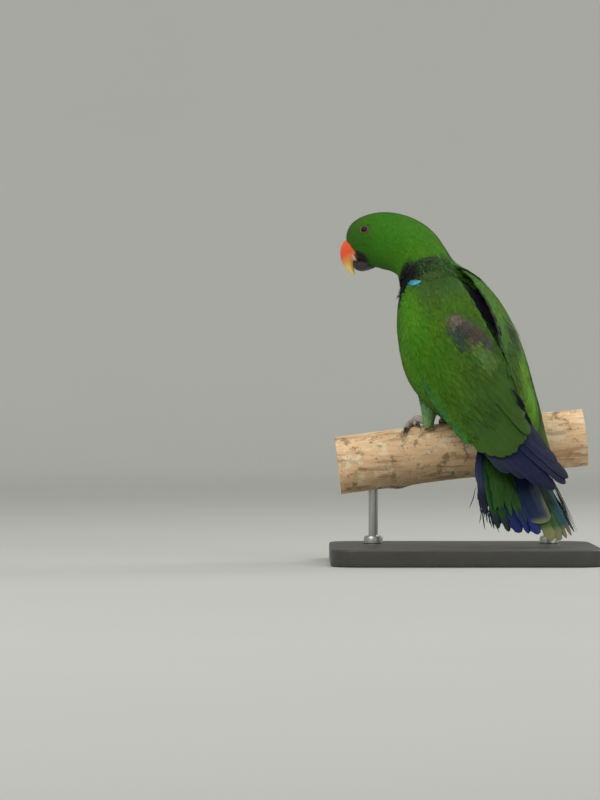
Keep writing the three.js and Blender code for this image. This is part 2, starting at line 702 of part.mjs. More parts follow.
const torsoClear = bodyClear.subtract(slab(RUMP_END, GAP / 2, SLAB_WIDTH));
const tail = joined([rumpEnd, tailCore(), ...tailFeathers(), ...tailCoverts()]).subtract(torsoClear);
add("tail", largest(tail), "green");

const wingLeft = wing("left", bodyClear);
const leftClear = FEATHER_ROWS.slice(0, 3).flatMap((row) => featherRow("left", row, GAP + 0.1));
const wingRight = wing("right", joined([bodyClear, ...leftClear]));
add("wing_left", wingLeft, "green");
add("wing_right", wingRight, "green");

const perchClear = perchLoft(GAP + 0.05, PERCH.length + 20);
add("perch", perchLoft(0, PERCH.length), "wood");
for (const side of ["left", "right"]) {
  const made = foot(side, perchClear);
  add("foot_" + side, made, "skin");
  add("thigh_" + side, thigh(side, bodyClear.add(shank(side, GAP + 0.1)).add(perchClear)), "green");
  for (const toe of TOES) add("claw_" + side + "_" + toe.name, claw(side, toe, made, perchClear), "black");
}

add("stand_base", base(), "stand");
add("stand_rod_left", rod(-ROD.spacing / 2, perchClear), "steel");
add("stand_rod_right", rod(ROD.spacing / 2, perchClear), "steel");

export default part;
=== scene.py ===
"""A male eclectus parrot on a cut length of branch: skin, feathers, bill, eyes, feet, perch and stand.

Lengths are millimetres in the CAD model's frame, and become metres as each mesh is made."""

import math
from collections import namedtuple
from functools import partial

import bpy
import numpy as np
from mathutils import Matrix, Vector
from mathutils.bvhtree import BVHTree
from mathutils.kdtree import KDTree


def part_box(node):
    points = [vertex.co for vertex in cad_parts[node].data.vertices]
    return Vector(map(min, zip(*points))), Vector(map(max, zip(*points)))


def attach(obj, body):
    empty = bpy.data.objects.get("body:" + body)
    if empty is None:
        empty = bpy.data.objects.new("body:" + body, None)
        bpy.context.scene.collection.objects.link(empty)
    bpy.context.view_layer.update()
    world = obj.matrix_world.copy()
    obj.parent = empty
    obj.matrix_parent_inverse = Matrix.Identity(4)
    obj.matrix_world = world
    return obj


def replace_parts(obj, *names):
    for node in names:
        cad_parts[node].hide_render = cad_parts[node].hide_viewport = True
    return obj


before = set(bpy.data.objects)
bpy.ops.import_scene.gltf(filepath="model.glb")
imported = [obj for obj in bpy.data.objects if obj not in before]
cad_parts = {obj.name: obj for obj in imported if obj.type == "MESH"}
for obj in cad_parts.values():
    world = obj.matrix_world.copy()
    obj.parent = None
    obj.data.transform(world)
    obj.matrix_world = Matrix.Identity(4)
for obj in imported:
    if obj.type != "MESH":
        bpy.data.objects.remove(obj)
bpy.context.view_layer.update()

MM = 0.001
rng = np.random.default_rng(3402)

# The model's own measures, as in the CAD source
PERCH = {"radius": 27.8, "length": 236, "height": 105, "y": 48, "slope": 6.5, "bend": 1.0}
BASE = {"width": 250, "depth": 220, "height": 16, "corner": 26, "bevel": 2}
ROD = {"radius": 4.5, "collar": 9, "collar_height": 7}
NECK_ROOT = np.array([-32.3, 51, 275.8])
HEADING, PITCH = math.radians(36), math.radians(54)
EYE = {"place": 29, "angle": math.radians(66), "radius": 4.4, "sunk": 2.2}

AHEAD = np.array([-math.sin(HEADING), math.cos(HEADING), 0])
TO_TAIL = -math.cos(PITCH) * AHEAD - math.sin(PITCH) * np.array([0, 0, 1])
TO_LEFT = np.array([-math.cos(HEADING), -math.sin(HEADING), 0])
TO_BACK = np.cross(TO_LEFT, TO_TAIL)


def columns(*values):
    """Numbers or arrays of any shapes, stretched to one shape, with room for x, y and z."""
    return [np.asarray(v, float)[..., None] for v in np.broadcast_arrays(*values)]


def unit(vectors):
    """The vectors' directions, each one long."""
    return vectors / np.linalg.norm(vectors, axis=-1, keepdims=True)


def fade(x, start, end):
    """A smooth step from 0 at start to 1 at end."""
    t = np.clip((np.asarray(x, float) - start) / (end - start), 0, 1)
    return t * t * (3 - 2 * t)


def around(count):
    """Evenly spaced angles round a circle."""
    return np.linspace(0, 2 * math.pi, count, endpoint=False)


def station(table, x):
    """Every column of a table at x, on smooth curves through its rows; column 0 holds x."""
    knots = np.array(table, float)
    place, values = knots[:, 0], knots[:, 1:]
    n = len(place)
    before, after = np.maximum(np.arange(n) - 1, 0), np.minimum(np.arange(n) + 1, n - 1)
    slopes = (values[after] - values[before]) / (place[after] - place[before])[:, None]
    x = np.clip(np.asarray(x, float), place[0], place[-1])
    i = np.clip(np.searchsorted(place, x, side="right") - 1, 0, n - 2)
    d = (place[i + 1] - place[i])[..., None]
    t = (x - place[i])[..., None] / d
    return (
        (2 * t**3 - 3 * t**2 + 1) * values[i]
        + (t**3 - 2 * t**2 + t) * d * slopes[i]
        + (3 * t**2 - 2 * t**3) * values[i + 1]
        + (t**3 - t**2) * d * slopes[i + 1]
    )


def trunk_point(along, left, back):
    """A point by its place along the trunk's line, and how far left and out of the back it lies."""
    along, left, back = columns(along, left, back)
    return NECK_ROOT + along * TO_TAIL + left * TO_LEFT + back * TO_BACK


# Body: place along the line, its middle, reach to the back, belly and sides, and the heading of the side
BODY = [
    [0, -106.8, 95.4, 299.2, 2.5, 1.5, 2, 64],
    [2.5, -105.0, 94.6, 299.6, 11.5, 6, 6.5, 64],
    [7, -100.9, 93.0, 300.8, 18.0, 11, 10.5, 64],
    [14, -95.0, 90.3, 302.3, 23.0, 17, 15.8, 64],
    [22, -88.6, 87.3, 303.2, 25.8, 22.5, 20, 63],
    [38, -73.4, 80.2, 304.6, 27.6, 26.6, 23.8, 60],
    [56, -57.4, 70.6, 301.4, 27.4, 27.4, 24.8, 54],
    [73, -44.2, 61.5, 293.6, 26.4, 27.4, 25.4, 46],
    [88, -36.0, 54.5, 283.2, 24, 27.4, 26.8, 40],
    [107, *trunk_point(12, 0, 0), 25, 33.5, 30, 36],
    [120, *trunk_point(25, 0, 0), 29.5, 46, 36.5, 36],
    [145, *trunk_point(50, 0, 0), 35.5, 59, 44.5, 36],
    [180, *trunk_point(85, 0, 0), 39, 69, 48, 36],
    [215, *trunk_point(120, 0, 0), 38, 60, 46.5, 36],
    [250, *trunk_point(155, 0, 0), 33, 43, 38, 36],
    [280, *trunk_point(185, 0, 0), 24, 26, 27, 36],
    [300, *trunk_point(205, 0, 0), 15, 14, 18.5, 36],
    [316, *trunk_point(221, 0, 0), 7, 7, 10, 36],
    [320, *trunk_point(225, 0, 0), 1.5, 1.5, 2, 36],
]
BODY_END = 320


def body_point(s, angle, out=0.0):
    """A point of the body: place along it, angle from the back round by the left, and how far out."""
    s, angle, out = np.broadcast_arrays(np.asarray(s, float), angle, out)
    row = station(BODY, s)
    ends = [station(BODY, np.clip(s + d, 0, BODY_END))[..., :3] for d in (1, -1)]
    tangent = unit(ends[0] - ends[1])
    turn = np.radians(row[..., 6])
    left = np.stack([-np.cos(turn), -np.sin(turn), np.zeros_like(turn)], -1)
    back = unit(np.cross(left, tangent))
    left = np.cross(tangent, back)
    reach = np.where(np.cos(angle) > 0, row[..., 3], row[..., 4]) + out
    side = row[..., 5] + out
    back_share, left_share = columns(reach * np.cos(angle), side * np.sin(angle))
    return row[..., :3] + back * back_share + left * left_share


# Wing sheet: place from the bend, along the trunk, left, out of the back, turn of its face, half width, curve
WING = [
    [0, 4, 31, 7, 68, 8, 30],
    [8, 10, 34, 10.5, 68, 18, 34],
    [24, 25, 39.5, 16, 67, 32, 43],
    [50, 50, 44.5, 21.5, 65, 41, 50],
    [85, 85, 48.5, 25.5, 62, 46, 55],
    [120, 120, 46.5, 27.5, 59, 45, 56],
    [156, 155, 39.5, 29.5, 51, 41, 57],
    [188, 185, 29, 30, 40, 36, 62],
    [222, 215, 12, 26.5, 26, 30, 72],
    [254, 240, -8, 22, 14, 24, 85],
    [283, 262, -26, 18, 8, 18, 100],
    [300, 275, -36, 16, 5, 14, 110],
]
WING_SIDES = {
    "left": {"sign": 1, "whole": [0, 0, 0], "front": [0, 0, 0], "tip": [0, 0, 0]},
    "right": {"sign": -1, "whole": [0, -2, -1.5], "front": [7, -3, -5], "tip": [-8, 24, -13]},
}
CORE_TOP = [[0, 0], [6, -0.8], [16, -2.6], [30, -3.2], [104, -3.2], [130, -6], [162, -8]]
CORE_THICK = [[0, 9], [20, 10], [60, 11], [104, 11], [130, 7.5], [150, 4], [162, 2]]


def wing_point(side, a, b, height=0.0):
    """A point of a wing's sheet: place along it, across it to the leading edge, and height above it."""
    a, b, height = np.broadcast_arrays(np.asarray(a, float), b, height)
    w = WING_SIDES[side]

    def centre(k):
        place = station(WING, k)[..., :3] + w["whole"]
        place = place + (1 - fade(k, 0, 70))[..., None] * w["front"] + fade(k, 150, 250)[..., None] * w["tip"]
        return trunk_point(place[..., 0], w["sign"] * place[..., 1], place[..., 2])

    row = station(WING, a)
    turn = np.radians(row[..., 3])[..., None]
    tangent = unit(centre(a + 1) - centre(a - 1))
    face = np.cos(turn) * TO_BACK + w["sign"] * np.sin(turn) * TO_LEFT
    face = unit(face - tangent * np.sum(face * tangent, -1, keepdims=True))
    across = np.cross(tangent, face) * w["sign"]
    bend = row[..., 5]
    turned = b / bend
    out, up = columns((bend + height) * np.sin(turned), (bend + height) * np.cos(turned) - bend)
    return centre(a) + across * out + face * up


TAIL = {"root": 186, "back": 4, "drop": 9.7, "turn": -3, "arch": 140}


def tail_point(down, across, height=0.0):
    """A point of the tail's sheet: down it from its root, across to the left, and height above it."""
    turn, drop, arch = math.radians(TAIL["turn"]), math.radians(TAIL["drop"]), TAIL["arch"]
    a = down * math.cos(turn) - across * math.sin(turn)
    b = down * math.sin(turn) + across * math.cos(turn)
    up = (arch + height) * np.cos(b / arch) - arch
    out = (arch + height) * np.sin(b / arch)
    return trunk_point(
        TAIL["root"] + a * math.cos(drop) + up * math.sin(drop),
        out,
        TAIL["back"] - a * math.sin(drop) + up * math.cos(drop),
    )


# Head's own frame, and the bill's sections in it: forward, up, half height, half width, turn
HEAD = {"origin": np.array([-98, 91.5, 300]), "heading": math.radians(64), "pitch": math.radians(-6)}
UPPER_BILL = [
    [-10, -3, 11, 10.2, 90],
    [-3, -2.6, 11.9, 10.8, 84],
    [3, -2.6, 12.6, 10.4, 70],
    [7.8, -5.8, 11.8, 9.0, 48],
    [10.4, -11.2, 8.6, 7.1, 24],
    [10.4, -17, 5.4, 5.0, 6],
    [8.6, -22, 3.3, 3.1, -12],
    [6.0, -26.5, 1.0, 1.1, -24],
]
LOWER_BILL = [
    [-14, -16.5, 6.5, 9.4, 90],
    [-8, -17.6, 6.8, 9.0, 96],
    [-3, -18.4, 6.2, 7.8, 108],
    [0.8, -17.4, 4.8, 6.4, 124],
    [3.6, -14.6, 1.5, 4.8, 138],
]


def head_axes():
    """Directions ahead of, left of and above the head."""
    turn, nod = HEAD["heading"], HEAD["pitch"]
    ahead = np.array([-math.sin(turn) * math.cos(nod), math.cos(turn) * math.cos(nod), math.sin(nod)])
    aside = np.array([-math.cos(turn), -math.sin(turn), 0])
    return np.array([ahead, aside, np.cross(ahead, aside)])


def head_point(forward, left, up):
    """A point of the head's own frame."""
    return HEAD["origin"] + np.stack(np.broadcast_arrays(forward, left, up), -1) @ head_axes()


# Perch, and what grips it: places along it, round it from the top towards +Y, and out from its middle
SLOPE = math.radians(PERCH["slope"])
ALONG_PERCH = np.array([math.cos(SLOPE), 0, math.sin(SLOPE)])
ABOVE_PERCH = np.array([-math.sin(SLOPE), 0, math.cos(SLOPE)])
FEET = {
    "left": {"x": -43, "mirror": 1, "heel": [-31.5, 31, 131.5], "knee": [-28, 34, 172]},
    "right": {"x": -12, "mirror": -1, "heel": [-2, 32, 134.5], "knee": [6, 38, 174]},
}
FOOT_TURN = math.radians(20)
TOES = {
    "2": {"way": 1, "splay": 0.42, "length": 21, "thick": 2.9},
    "3": {"way": 1, "splay": -0.28, "length": 28, "thick": 3.2},
    "1": {"way": -1, "splay": 0.25, "length": 17, "thick": 2.8},
    "4": {"way": -1, "splay": -0.30, "length": 24, "thick": 3.0},
}
CLAW_LENGTH, CLAW_RADIUS, GAP = 10, 1.9, 0.3
LIMB_STEPS = 64


def perch_radius(x):
    """The perch's radius, a little uneven, at a place along it."""
    return PERCH["radius"] * (1 + 0.018 * np.sin(x / 31) - 0.012 * np.cos(x / 17))


def perch_point(x, angle, radius):
    """A point by its place along the perch, the angle round it, and how far it lies from its middle line."""
    x, angle, radius = columns(x, angle, radius)
    lift = PERCH["bend"] * (np.cos(x / 45) - 1)
    middle = np.array([0, PERCH["y"], PERCH["height"]]) + x * ALONG_PERCH + lift * ABOVE_PERCH
    return middle + radius * (np.cos(angle) * ABOVE_PERCH + np.sin(angle) * np.array([0, 1, 0]))


# Mesh tools
def ring_faces(stations, ring):
    """Faces of one closed tube of even rings: quads along it, and a ladder of faces across each end."""
    i, j = np.meshgrid(np.arange(stations - 1), np.arange(ring), indexing="ij")
    k = (j + 1) % ring
    wall = np.stack([i * ring + j, i * ring + k, (i + 1) * ring + k, (i + 1) * ring + j], -1).reshape(-1, 4)
    half = ring // 2
    low = np.arange(1, half - 1)
    rungs = np.stack([low, ring - low, ring - low - 1, low + 1], -1)
    ends = np.array([[0, ring - 1, 1], [half - 1, half + 1, half]])
    last = (stations - 1) * ring
    quads = np.concatenate([wall, rungs, rungs[:, ::-1] + last])
    tris = np.concatenate([ends, ends[:, ::-1] + last])
    return quads, tris


def volume(points, quads, tris):
    """Volume within closed shapes, below 0 when their faces point inward."""
    faces = np.concatenate([tris, quads[:, :3], quads[:, [0, 2, 3]]])
    a, b, c = (points - points.mean(0))[faces].transpose(1, 0, 2)
    return np.sum(a * np.cross(b, c)) / 6


def put_tint(mesh, colours):
    """Writes a colour for each point of a mesh, for its material to read."""
    rgba = np.concatenate([colours, np.ones((len(colours), 1))], 1).astype(np.float32)
    mesh.attributes.new("tint", "FLOAT_COLOR", "POINT").data.foreach_set("color", rgba.ravel())


def mesh_object(name, points, quads, tris, look, tint=None, maps=(), borders=None):
    """A mesh piece from numpy arrays. tint holds a colour for each point, and maps are (name, uv) pairs.

    Edges between two points that share a bit of their border numbers stay sharp."""
    if volume(points, quads, tris) < 0:
        quads, tris = quads[:, ::-1], tris[:, ::-1]
    corners = np.concatenate([quads.ravel(), tris.ravel()])
    totals = np.concatenate([np.full(len(quads), 4), np.full(len(tris), 3)])
    mesh = bpy.data.meshes.new(name)
    mesh.vertices.add(len(points))
    mesh.vertices.foreach_set("co", (points * MM).astype(np.float32).ravel())
    mesh.loops.add(len(corners))
    mesh.loops.foreach_set("vertex_index", corners.astype(np.int32))
    mesh.polygons.add(len(totals))
    mesh.polygons.foreach_set("loop_start", np.concatenate([[0], np.cumsum(totals)[:-1]]).astype(np.int32))
    mesh.polygons.foreach_set("loop_total", totals.astype(np.int32))
    mesh.polygons.foreach_set("use_smooth", np.ones(len(totals), bool))
    for key, uv in maps:
        mesh.uv_layers.new(name=key).data.foreach_set("uv", uv[corners].astype(np.float32).ravel())
    if tint is not None:
        put_tint(mesh, tint)
    mesh.update(calc_edges=True)
    if borders is not None:
        ends = np.empty(len(mesh.edges) * 2, np.int32)
        mesh.edges.foreach_get("vertices", ends)
        marks = borders[ends.reshape(-1, 2)]
        sharp = (marks[:, 0] & marks[:, 1]) > 0
        mesh.attributes.new("sharp_edge", "BOOLEAN", "EDGE").data.foreach_set("value", sharp)
    mesh.materials.append(look)
    piece = bpy.data.objects.new(name, mesh)
    bpy.context.scene.collection.objects.link(piece)
    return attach(piece, "root")


def tubes(name, rings, look, tint=None):
    """A piece of one or more closed tubes of equal size, from rings shaped (tube, station, ring, 3)."""
    count, stations, ring = rings.shape[:3]
    starts = np.arange(count)[:, None, None] * stations * ring
    quads, tris = [(starts + f).reshape(-1, f.shape[1]) for f in ring_faces(stations, ring)]
    if tint is not None:
        tint = np.broadcast_to(tint, rings.shape).reshape(-1, 3)
    return mesh_object(name, rings.reshape(-1, 3), quads, tris, look, tint)


def finished(piece, slot, *replaced):
    """A piece in place of the CAD parts that it replaces; slot is not used."""
    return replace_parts(piece, *replaced)


def tree_of(piece):
    """A search tree of a piece's surface, in metres."""
    mesh = piece.data
    return BVHTree.FromPolygons([v.co for v in mesh.vertices], [tuple(p.vertices) for p in mesh.polygons])


def inside(tree, points):
    """Which points, in millimetres, lie inside a closed piece."""
    found = []
    for p in points * MM:
        spot, normal, _, _ = tree.find_nearest(Vector(p))
        found.append((Vector(p) - spot).dot(normal) < 0)
    return np.array(found)


def tube_rings(path, radii, ring=16, start_side=(1, 0, 0)):
    """Rings round a path of points."""
    path = np.asarray(path, float)
    tangents = unit(np.gradient(path, axis=0))
    side = np.array(start_side, float)
    turns = around(ring)
    rings = []
    for p, tangent, radius in zip(path, tangents, radii):
        side = unit(side - tangent * (side @ tangent))
        up = np.cross(tangent, side)
        rings.append(p + np.outer(np.cos(turns) * radius, side) + np.outer(np.sin(turns) * radius, up))
    return np.array(rings)


def along_curve(points, count):
    """Evenly spaced points on a smooth curve through a few."""
    points = np.asarray(points, float)
    table = np.column_stack([np.arange(len(points)), points])
    return station(table, np.linspace(0, len(points) - 1, count))


# Colours
def rgb(red, green, blue):
    """A colour given as it looks on a screen, from 0 to 255, as the linear light that a shader takes."""
    c = np.array([red, green, blue]) / 255
    return np.where(c <= 0.04045, c / 12.92, ((c + 0.055) / 1.055) ** 2.4)


CROWN_GREEN = rgb(61, 127, 27)
FOREHEAD_GREEN = rgb(76, 116, 42)
CHEEK_GREEN = rgb(60, 115, 30)
THROAT_GREEN = rgb(58, 117, 34)
NAPE_GREEN = rgb(68, 127, 23)
BREAST_GREEN = rgb(78, 142, 28)
BELLY_GREEN = rgb(70, 120, 34)
BACK_GREEN = rgb(64, 104, 44)
CHARCOAL = rgb(31, 34, 36)
# Painted shade: the dark seam where the wings meet the back
SEAM_SHADE = rgb(44, 38, 50)
FLANK_RED = rgb(150, 32, 26)
SHOULDER_OLIVE = rgb(62, 95, 41)
WING_BRIGHT = rgb(82, 148, 30)
WING_MIDDLE = rgb(64, 122, 17)
WING_GREEN = rgb(64, 104, 23)
WING_DEEP = rgb(55, 86, 31)
WING_TIP = rgb(43, 68, 27)
WING_EDGE = rgb(76, 138, 34)
# Painted light: a lighter green for the far wing's recessed inner part
FAR_PAINTED_LIGHT = rgb(80, 128, 52)
EDGE_TEAL = rgb(50, 132, 88)
BEND_TURQUOISE = rgb(58, 146, 168)
BEND_PALE = rgb(92, 178, 196)
WORN_MAUVE = rgb(76, 68, 67)
SCAPULAR_OLIVE = rgb(84, 120, 62)
# Painted shade: the dark corner of the gape, on the face feathers
LIME = rgb(98, 156, 34)
GAPE_SHADE = rgb(44, 42, 44)
RUFF_DARK = rgb(46, 76, 38)
NAVY = rgb(25, 30, 62)
NAVY_DARK = rgb(19, 21, 36)
STRAND_OLIVE = rgb(84, 98, 56)
STRAND_PALE = rgb(146, 158, 126)
SHANK_GREEN = rgb(126, 174, 120)
WISP_BROWN = rgb(58, 50, 46)
WORN_SLATE = rgb(46, 56, 60)
WORN_PALE = rgb(116, 106, 92)
WEB_DARK = rgb(36, 52, 28)
PRIMARY_SLATE = rgb(42, 52, 66)
PRIMARY_EDGE = rgb(54, 58, 86)
COVERT_TEAL = rgb(44, 84, 74)
TAIL_WEB = rgb(20, 26, 26)
SHANK_PALE = rgb(150, 160, 132)
BILL_CORAL = rgb(250, 88, 44)
BILL_PEACH = rgb(255, 160, 90)
BILL_YELLOW = rgb(255, 220, 124)
BILL_EDGE = rgb(240, 232, 212)
BILL_GAPE_SHADE = rgb(36, 33, 34)
# Painted shade: the dark corner of the gape, on the upper bill
BILL_SLATE = rgb(52, 48, 51)
BILL_DARK = rgb(34, 31, 34)
PUPIL = rgb(8, 6, 6)
IRIS = rgb(70, 34, 16)
EYE_RIM = rgb(30, 18, 12)
LID = rgb(124, 98, 66)
TOE_SKIN = rgb(212, 200, 192)
TOE_DUST = rgb(120, 106, 100)
CLAW_BLACK = rgb(52, 49, 50)
WOOD = rgb(250, 210, 164)
WOOD_CUT = rgb(250, 220, 178)
WOOD_STAIN = rgb(150, 108, 74)
WOOD_BLOTCH = rgb(112, 88, 68)
WOOD_BLEACHED = rgb(255, 236, 200)
WOOD_WORN = rgb(150, 104, 70)
BASE_PAINT = rgb(62, 61, 59)
ROD_STEEL = rgb(190, 190, 188)
FLOOR_GREY = rgb(192, 192, 186)


# Materials
def joined(operation, swapped=False):
    """A method that joins a socket with a value by some arithmetic, or the value with the socket."""

    def join(wire, other):
        first, second = (other, wire) if swapped else (wire, other)
        return wire.join(operation, first, second)

    return join


class Wire:
    """A socket in a node tree that adds, multiplies and mixes as a number or colour does."""

    __add__, __radd__ = joined("ADD"), joined("ADD", True)
    __sub__, __rsub__ = joined("SUBTRACT"), joined("SUBTRACT", True)
    __mul__, __rmul__ = joined("MULTIPLY"), joined("MULTIPLY", True)
    __truediv__, __rtruediv__ = joined("DIVIDE"), joined("DIVIDE", True)
    __pow__ = joined("POWER")

    def __init__(self, look, socket):
        self.look = look
        self.socket = socket

    def join(self, operation, first, second=0.0):
        sockets = [v.socket for v in (first, second) if isinstance(v, Wire)]
        vector = any(s.type in ("RGBA", "VECTOR") for s in sockets)
        kind = "ShaderNodeVectorMath" if vector else "ShaderNodeMath"
        if vector:
            first, second = [(v, v, v) if isinstance(v, (int, float)) else v for v in (first, second)]
        return self.look.node(kind, {"operation": operation}, {0: first, 1: second})

    def __abs__(self):
        return self.join("ABSOLUTE", self)

    def sine(self):
        return self.join("SINE", self)

    def between(self, low, high):
        """A smooth step from 0 at low to 1 at high."""
        settings = {"interpolation_type": "SMOOTHSTEP"}
        values = {"Value": self, "From Min": low, "From Max": high}
        return self.look.node("ShaderNodeMapRange", settings, values)

    def to(self, other, share):
        """This colour mixed towards another by a share from 0 to 1."""
        values = {"Factor": share, "A": self, "B": other}
        return self.look.node("ShaderNodeMix", {"data_type": "RGBA"}, values, "Result")

    def parts(self):
        """The three numbers of a vector."""
        split = self.look.node("ShaderNodeSeparateXYZ", {}, {"Vector": self}, "X")
        return [Wire(self.look, s) for s in split.socket.node.outputs]


class Look:
    """A Principled material. Fixed values go straight on its sockets."""

    def __init__(self, name, fixed):
        self.material = bpy.data.materials.new(name)
        self.material.use_nodes = True
        self.tree = self.material.node_tree
        self.shader = self.tree.nodes["Principled BSDF"]
        for socket, value in fixed.items():
            self.shader.inputs[socket].default_value = value

    def node(self, kind, settings=None, values=None, output=0):
        """Adds a node, sets its settings and sockets, and returns one of its outputs."""
        made = self.tree.nodes.new(kind)
        for key, value in (settings or {}).items():
            setattr(made, key, value)
        for key, value in (values or {}).items():
            self.put(self.socket(made.inputs, key), value)
        return Wire(self, self.socket(made.outputs, output))

    def socket(self, sockets, key):
        """The socket in use with that name or place, as a Mix node has several of one name."""
        if isinstance(key, int):
            return sockets[key]
        return next(s for s in sockets if s.name == key and s.enabled)

    def put(self, socket, value):
        if isinstance(value, Wire):
            self.tree.links.new(value.socket, socket)
        elif socket.type == "RGBA":
            socket.default_value = (*value, 1)[:4]
        else:
            socket.default_value = value

    def place(self):
        return self.node("ShaderNodeTexCoord", {}, {}, "Object")

    def noise(self, scale, detail=2.0, where=None, roughness=0.5):
        values = {"Vector": where or self.place(), "Scale": scale, "Detail": detail, "Roughness": roughness}
        return self.node("ShaderNodeTexNoise", {}, values, "Fac")

    def cells(self, scale, where=None):
        """Distance from the nearest cell's middle, 0 in it and about 1 at its edge."""
        values = {"Vector": where or self.place(), "Scale": scale}
        return self.node("ShaderNodeTexVoronoi", {}, values, "Distance")

    def stretched(self, *scale):
        """The place on the object with its axes scaled, for grain that runs one way."""
        return self.node("ShaderNodeMapping", {}, {"Vector": self.place(), "Scale": scale})

    def tint(self):
        return self.node("ShaderNodeAttribute", {"attribute_name": "tint"}, {}, "Color")

    def finish(self, colour, roughness=None, relief=None, depth=0.001, strength=1.0):
        """Links the colour, and the roughness and relief where they vary, and returns the material."""
        self.put(self.shader.inputs["Base Color"], colour)
        if roughness is not None:
            self.put(self.shader.inputs["Roughness"], roughness)
        if relief is not None:
            values = {"Height": relief, "Distance": depth, "Strength": strength}
            self.put(self.shader.inputs["Normal"], self.node("ShaderNodeBump", {}, values))
        return self.material


def feather_look(name, barb, gloss, mottle, warmth):
    """Feathers: fine slanting barbs off the shaft, with a soft sheen and uneven colour."""
    look = Look(name, {"Roughness": gloss, "Specular IOR Level": 0.12})
    across, along, _ = look.node("ShaderNodeUVMap", {"uv_map": "Vane"}).parts()
    barbs = ((along - abs(across) * 1.2) * (2 * math.pi / barb)).sine() * 0.5 + 0.5
    patch = look.noise(70, 3)
    grain = look.noise(900, 2)
    tint = look.tint()
    tint = tint.to(tint * (1.3, 0.98, 0.7), look.noise(48, 2).between(0.42, 0.66) * warmth)
    colour = tint * (barbs * 0.18 + 0.88) * (patch * mottle + (1.04 - mottle / 2)) * (grain * 0.3 + 0.85)
    return look.finish(colour, relief=barbs * 0.6 + grain * 0.1, depth=0.0004, strength=0.4)


def skin_look():
    """Skin and down under the feathers, in their colours but darker."""
    look = Look("skin", {"Roughness": 0.9})
    down = look.noise(1400, 3)
    return look.finish(look.tint() * (down * 0.4 + 0.35), relief=down, depth=0.0005)


def bill_look(name, gloss, streaks):
    """Horn: smooth, with fine growth lines, small flakes and a little wear."""
    look = Look(name, {"Coat Weight": 0.15, "Coat Roughness": 0.25, "Subsurface Weight": 0.06})
    lines = look.noise(900, 3, look.stretched(1.0, 1.0, 0.25))
    wear = look.noise(240, 4)
    colour = look.tint() * (lines * streaks + 1 - streaks / 2) * (wear * 0.3 + 0.86)
    relief = lines + wear * 0.5
    return look.finish(colour, wear * 0.25 + gloss, relief, depth=0.0003, strength=0.5)


def eye_look():
    """Eye: dark pupil, thin brown iris, and a clear wet front."""
    wet = {"Coat Weight": 0.18, "Coat Roughness": 0.04}
    look = Look("eye", {"Roughness": 0.3, "Specular IOR Level": 0.15, **wet})
    fleck = look.noise(4000, 2)
    return look.finish(look.tint() * (fleck * 0.5 + 0.75))


def foot_look():
    """Scaly skin of the toes and shanks, with dust between the scales."""
    look = Look("foot_skin", {"Roughness": 0.75})
    scale_edge = look.cells(1100).between(0.25, 0.8)
    dust = look.noise(350, 4)
    colour = look.tint().to(TOE_DUST, scale_edge * 0.5) * (dust * 0.5 + 0.75)
    return look.finish(colour, relief=scale_edge * -1.0 + dust * 0.4, depth=0.0004)


def claw_look():
    """Claws: dark worn horn."""
    look = Look("claw", {"Coat Weight": 0.2, "Coat Roughness": 0.3})
    wear = look.noise(700, 3)
    colour = look.tint() * (wear * 0.7 + 0.65)
    return look.finish(colour, wear * 0.3 + 0.3, wear, depth=0.0002)


def wood_look():
    """Peeled branch: tan wood with long grain, worn dark patches and beetle marks."""
    look = Look("perch_wood", {"Specular IOR Level": 0.25})
    place, long = look.place(), look.stretched(0.12, 1.0, 1.0)
    grain = look.noise(420, 5, long, 0.65)
    stain = look.noise(22, 4, long, 0.6)
    blotch = look.noise(85, 5, place, 0.62)
    pits = look.cells(160, place).between(0.05, 0.16)
    colour = look.tint() * (grain * 0.8 + 0.58)
    colour = colour.to(WOOD_STAIN, stain.between(0.48, 0.68) * 0.6)
    colour = colour.to(WOOD_BLOTCH, blotch.between(0.52, 0.64) * 0.65)
    colour = colour.to(WOOD_BLEACHED, look.noise(75, 6, place, 0.72).between(0.5, 0.6) * 0.8)
    colour = colour.to(WOOD_WORN, look.noise(210, 4, long, 0.6).between(0.52, 0.64) * 0.5)
    colour = colour * (pits * 0.4 + 0.6)
    relief = grain * 0.7 + blotch * 0.8 + pits * 0.25
    return look.finish(colour, grain * 0.25 + 0.62, relief, depth=0.0009, strength=0.7)


def base_look():
    """Painted board: dark satin paint with a faint brushed texture."""
    look = Look("stand_base", {"Coat Weight": 0.1, "Coat Roughness": 0.4})
    brush = look.noise(500, 4, look.stretched(0.15, 1.0, 1.0))
    worn = look.noise(60, 4)
    colour = look.tint() * (brush * 0.3 + 0.85) * (worn * 0.4 + 0.8)
    return look.finish(colour, worn * 0.25 + 0.38, brush, depth=0.0003, strength=0.4)


def steel_look():
    """Rods: brushed steel with faint smudges."""
    look = Look("stand_rod", {"Metallic": 1.0})
    lines = look.noise(2500, 3, look.stretched(0.05, 0.05, 1.0))
    smudge = look.noise(120, 3)
    colour = look.tint() * (lines * 0.3 + 0.85) * (smudge * 0.2 + 0.9)
    return look.finish(colour, lines * 0.2 + smudge * 0.15 + 0.2, lines, depth=0.0001)


def floor_look():
    """Floor: plain pale board that glows a little, far from the model, as a lit backdrop does."""
    look = Look("floor", {"Roughness": 0.9, "Specular IOR Level": 0.2, "Emission Strength": 0.3})
    cloud = look.noise(3, 3)
    x, y, _ = look.place().parts()
    away = ((x * x + y * y) ** 0.5).between(0.6, 5.5)
    look.put(look.shader.inputs["Emission Color"], look.tint() * away)
    return look.finish((cloud * 0.06 + 0.97) * look.tint())


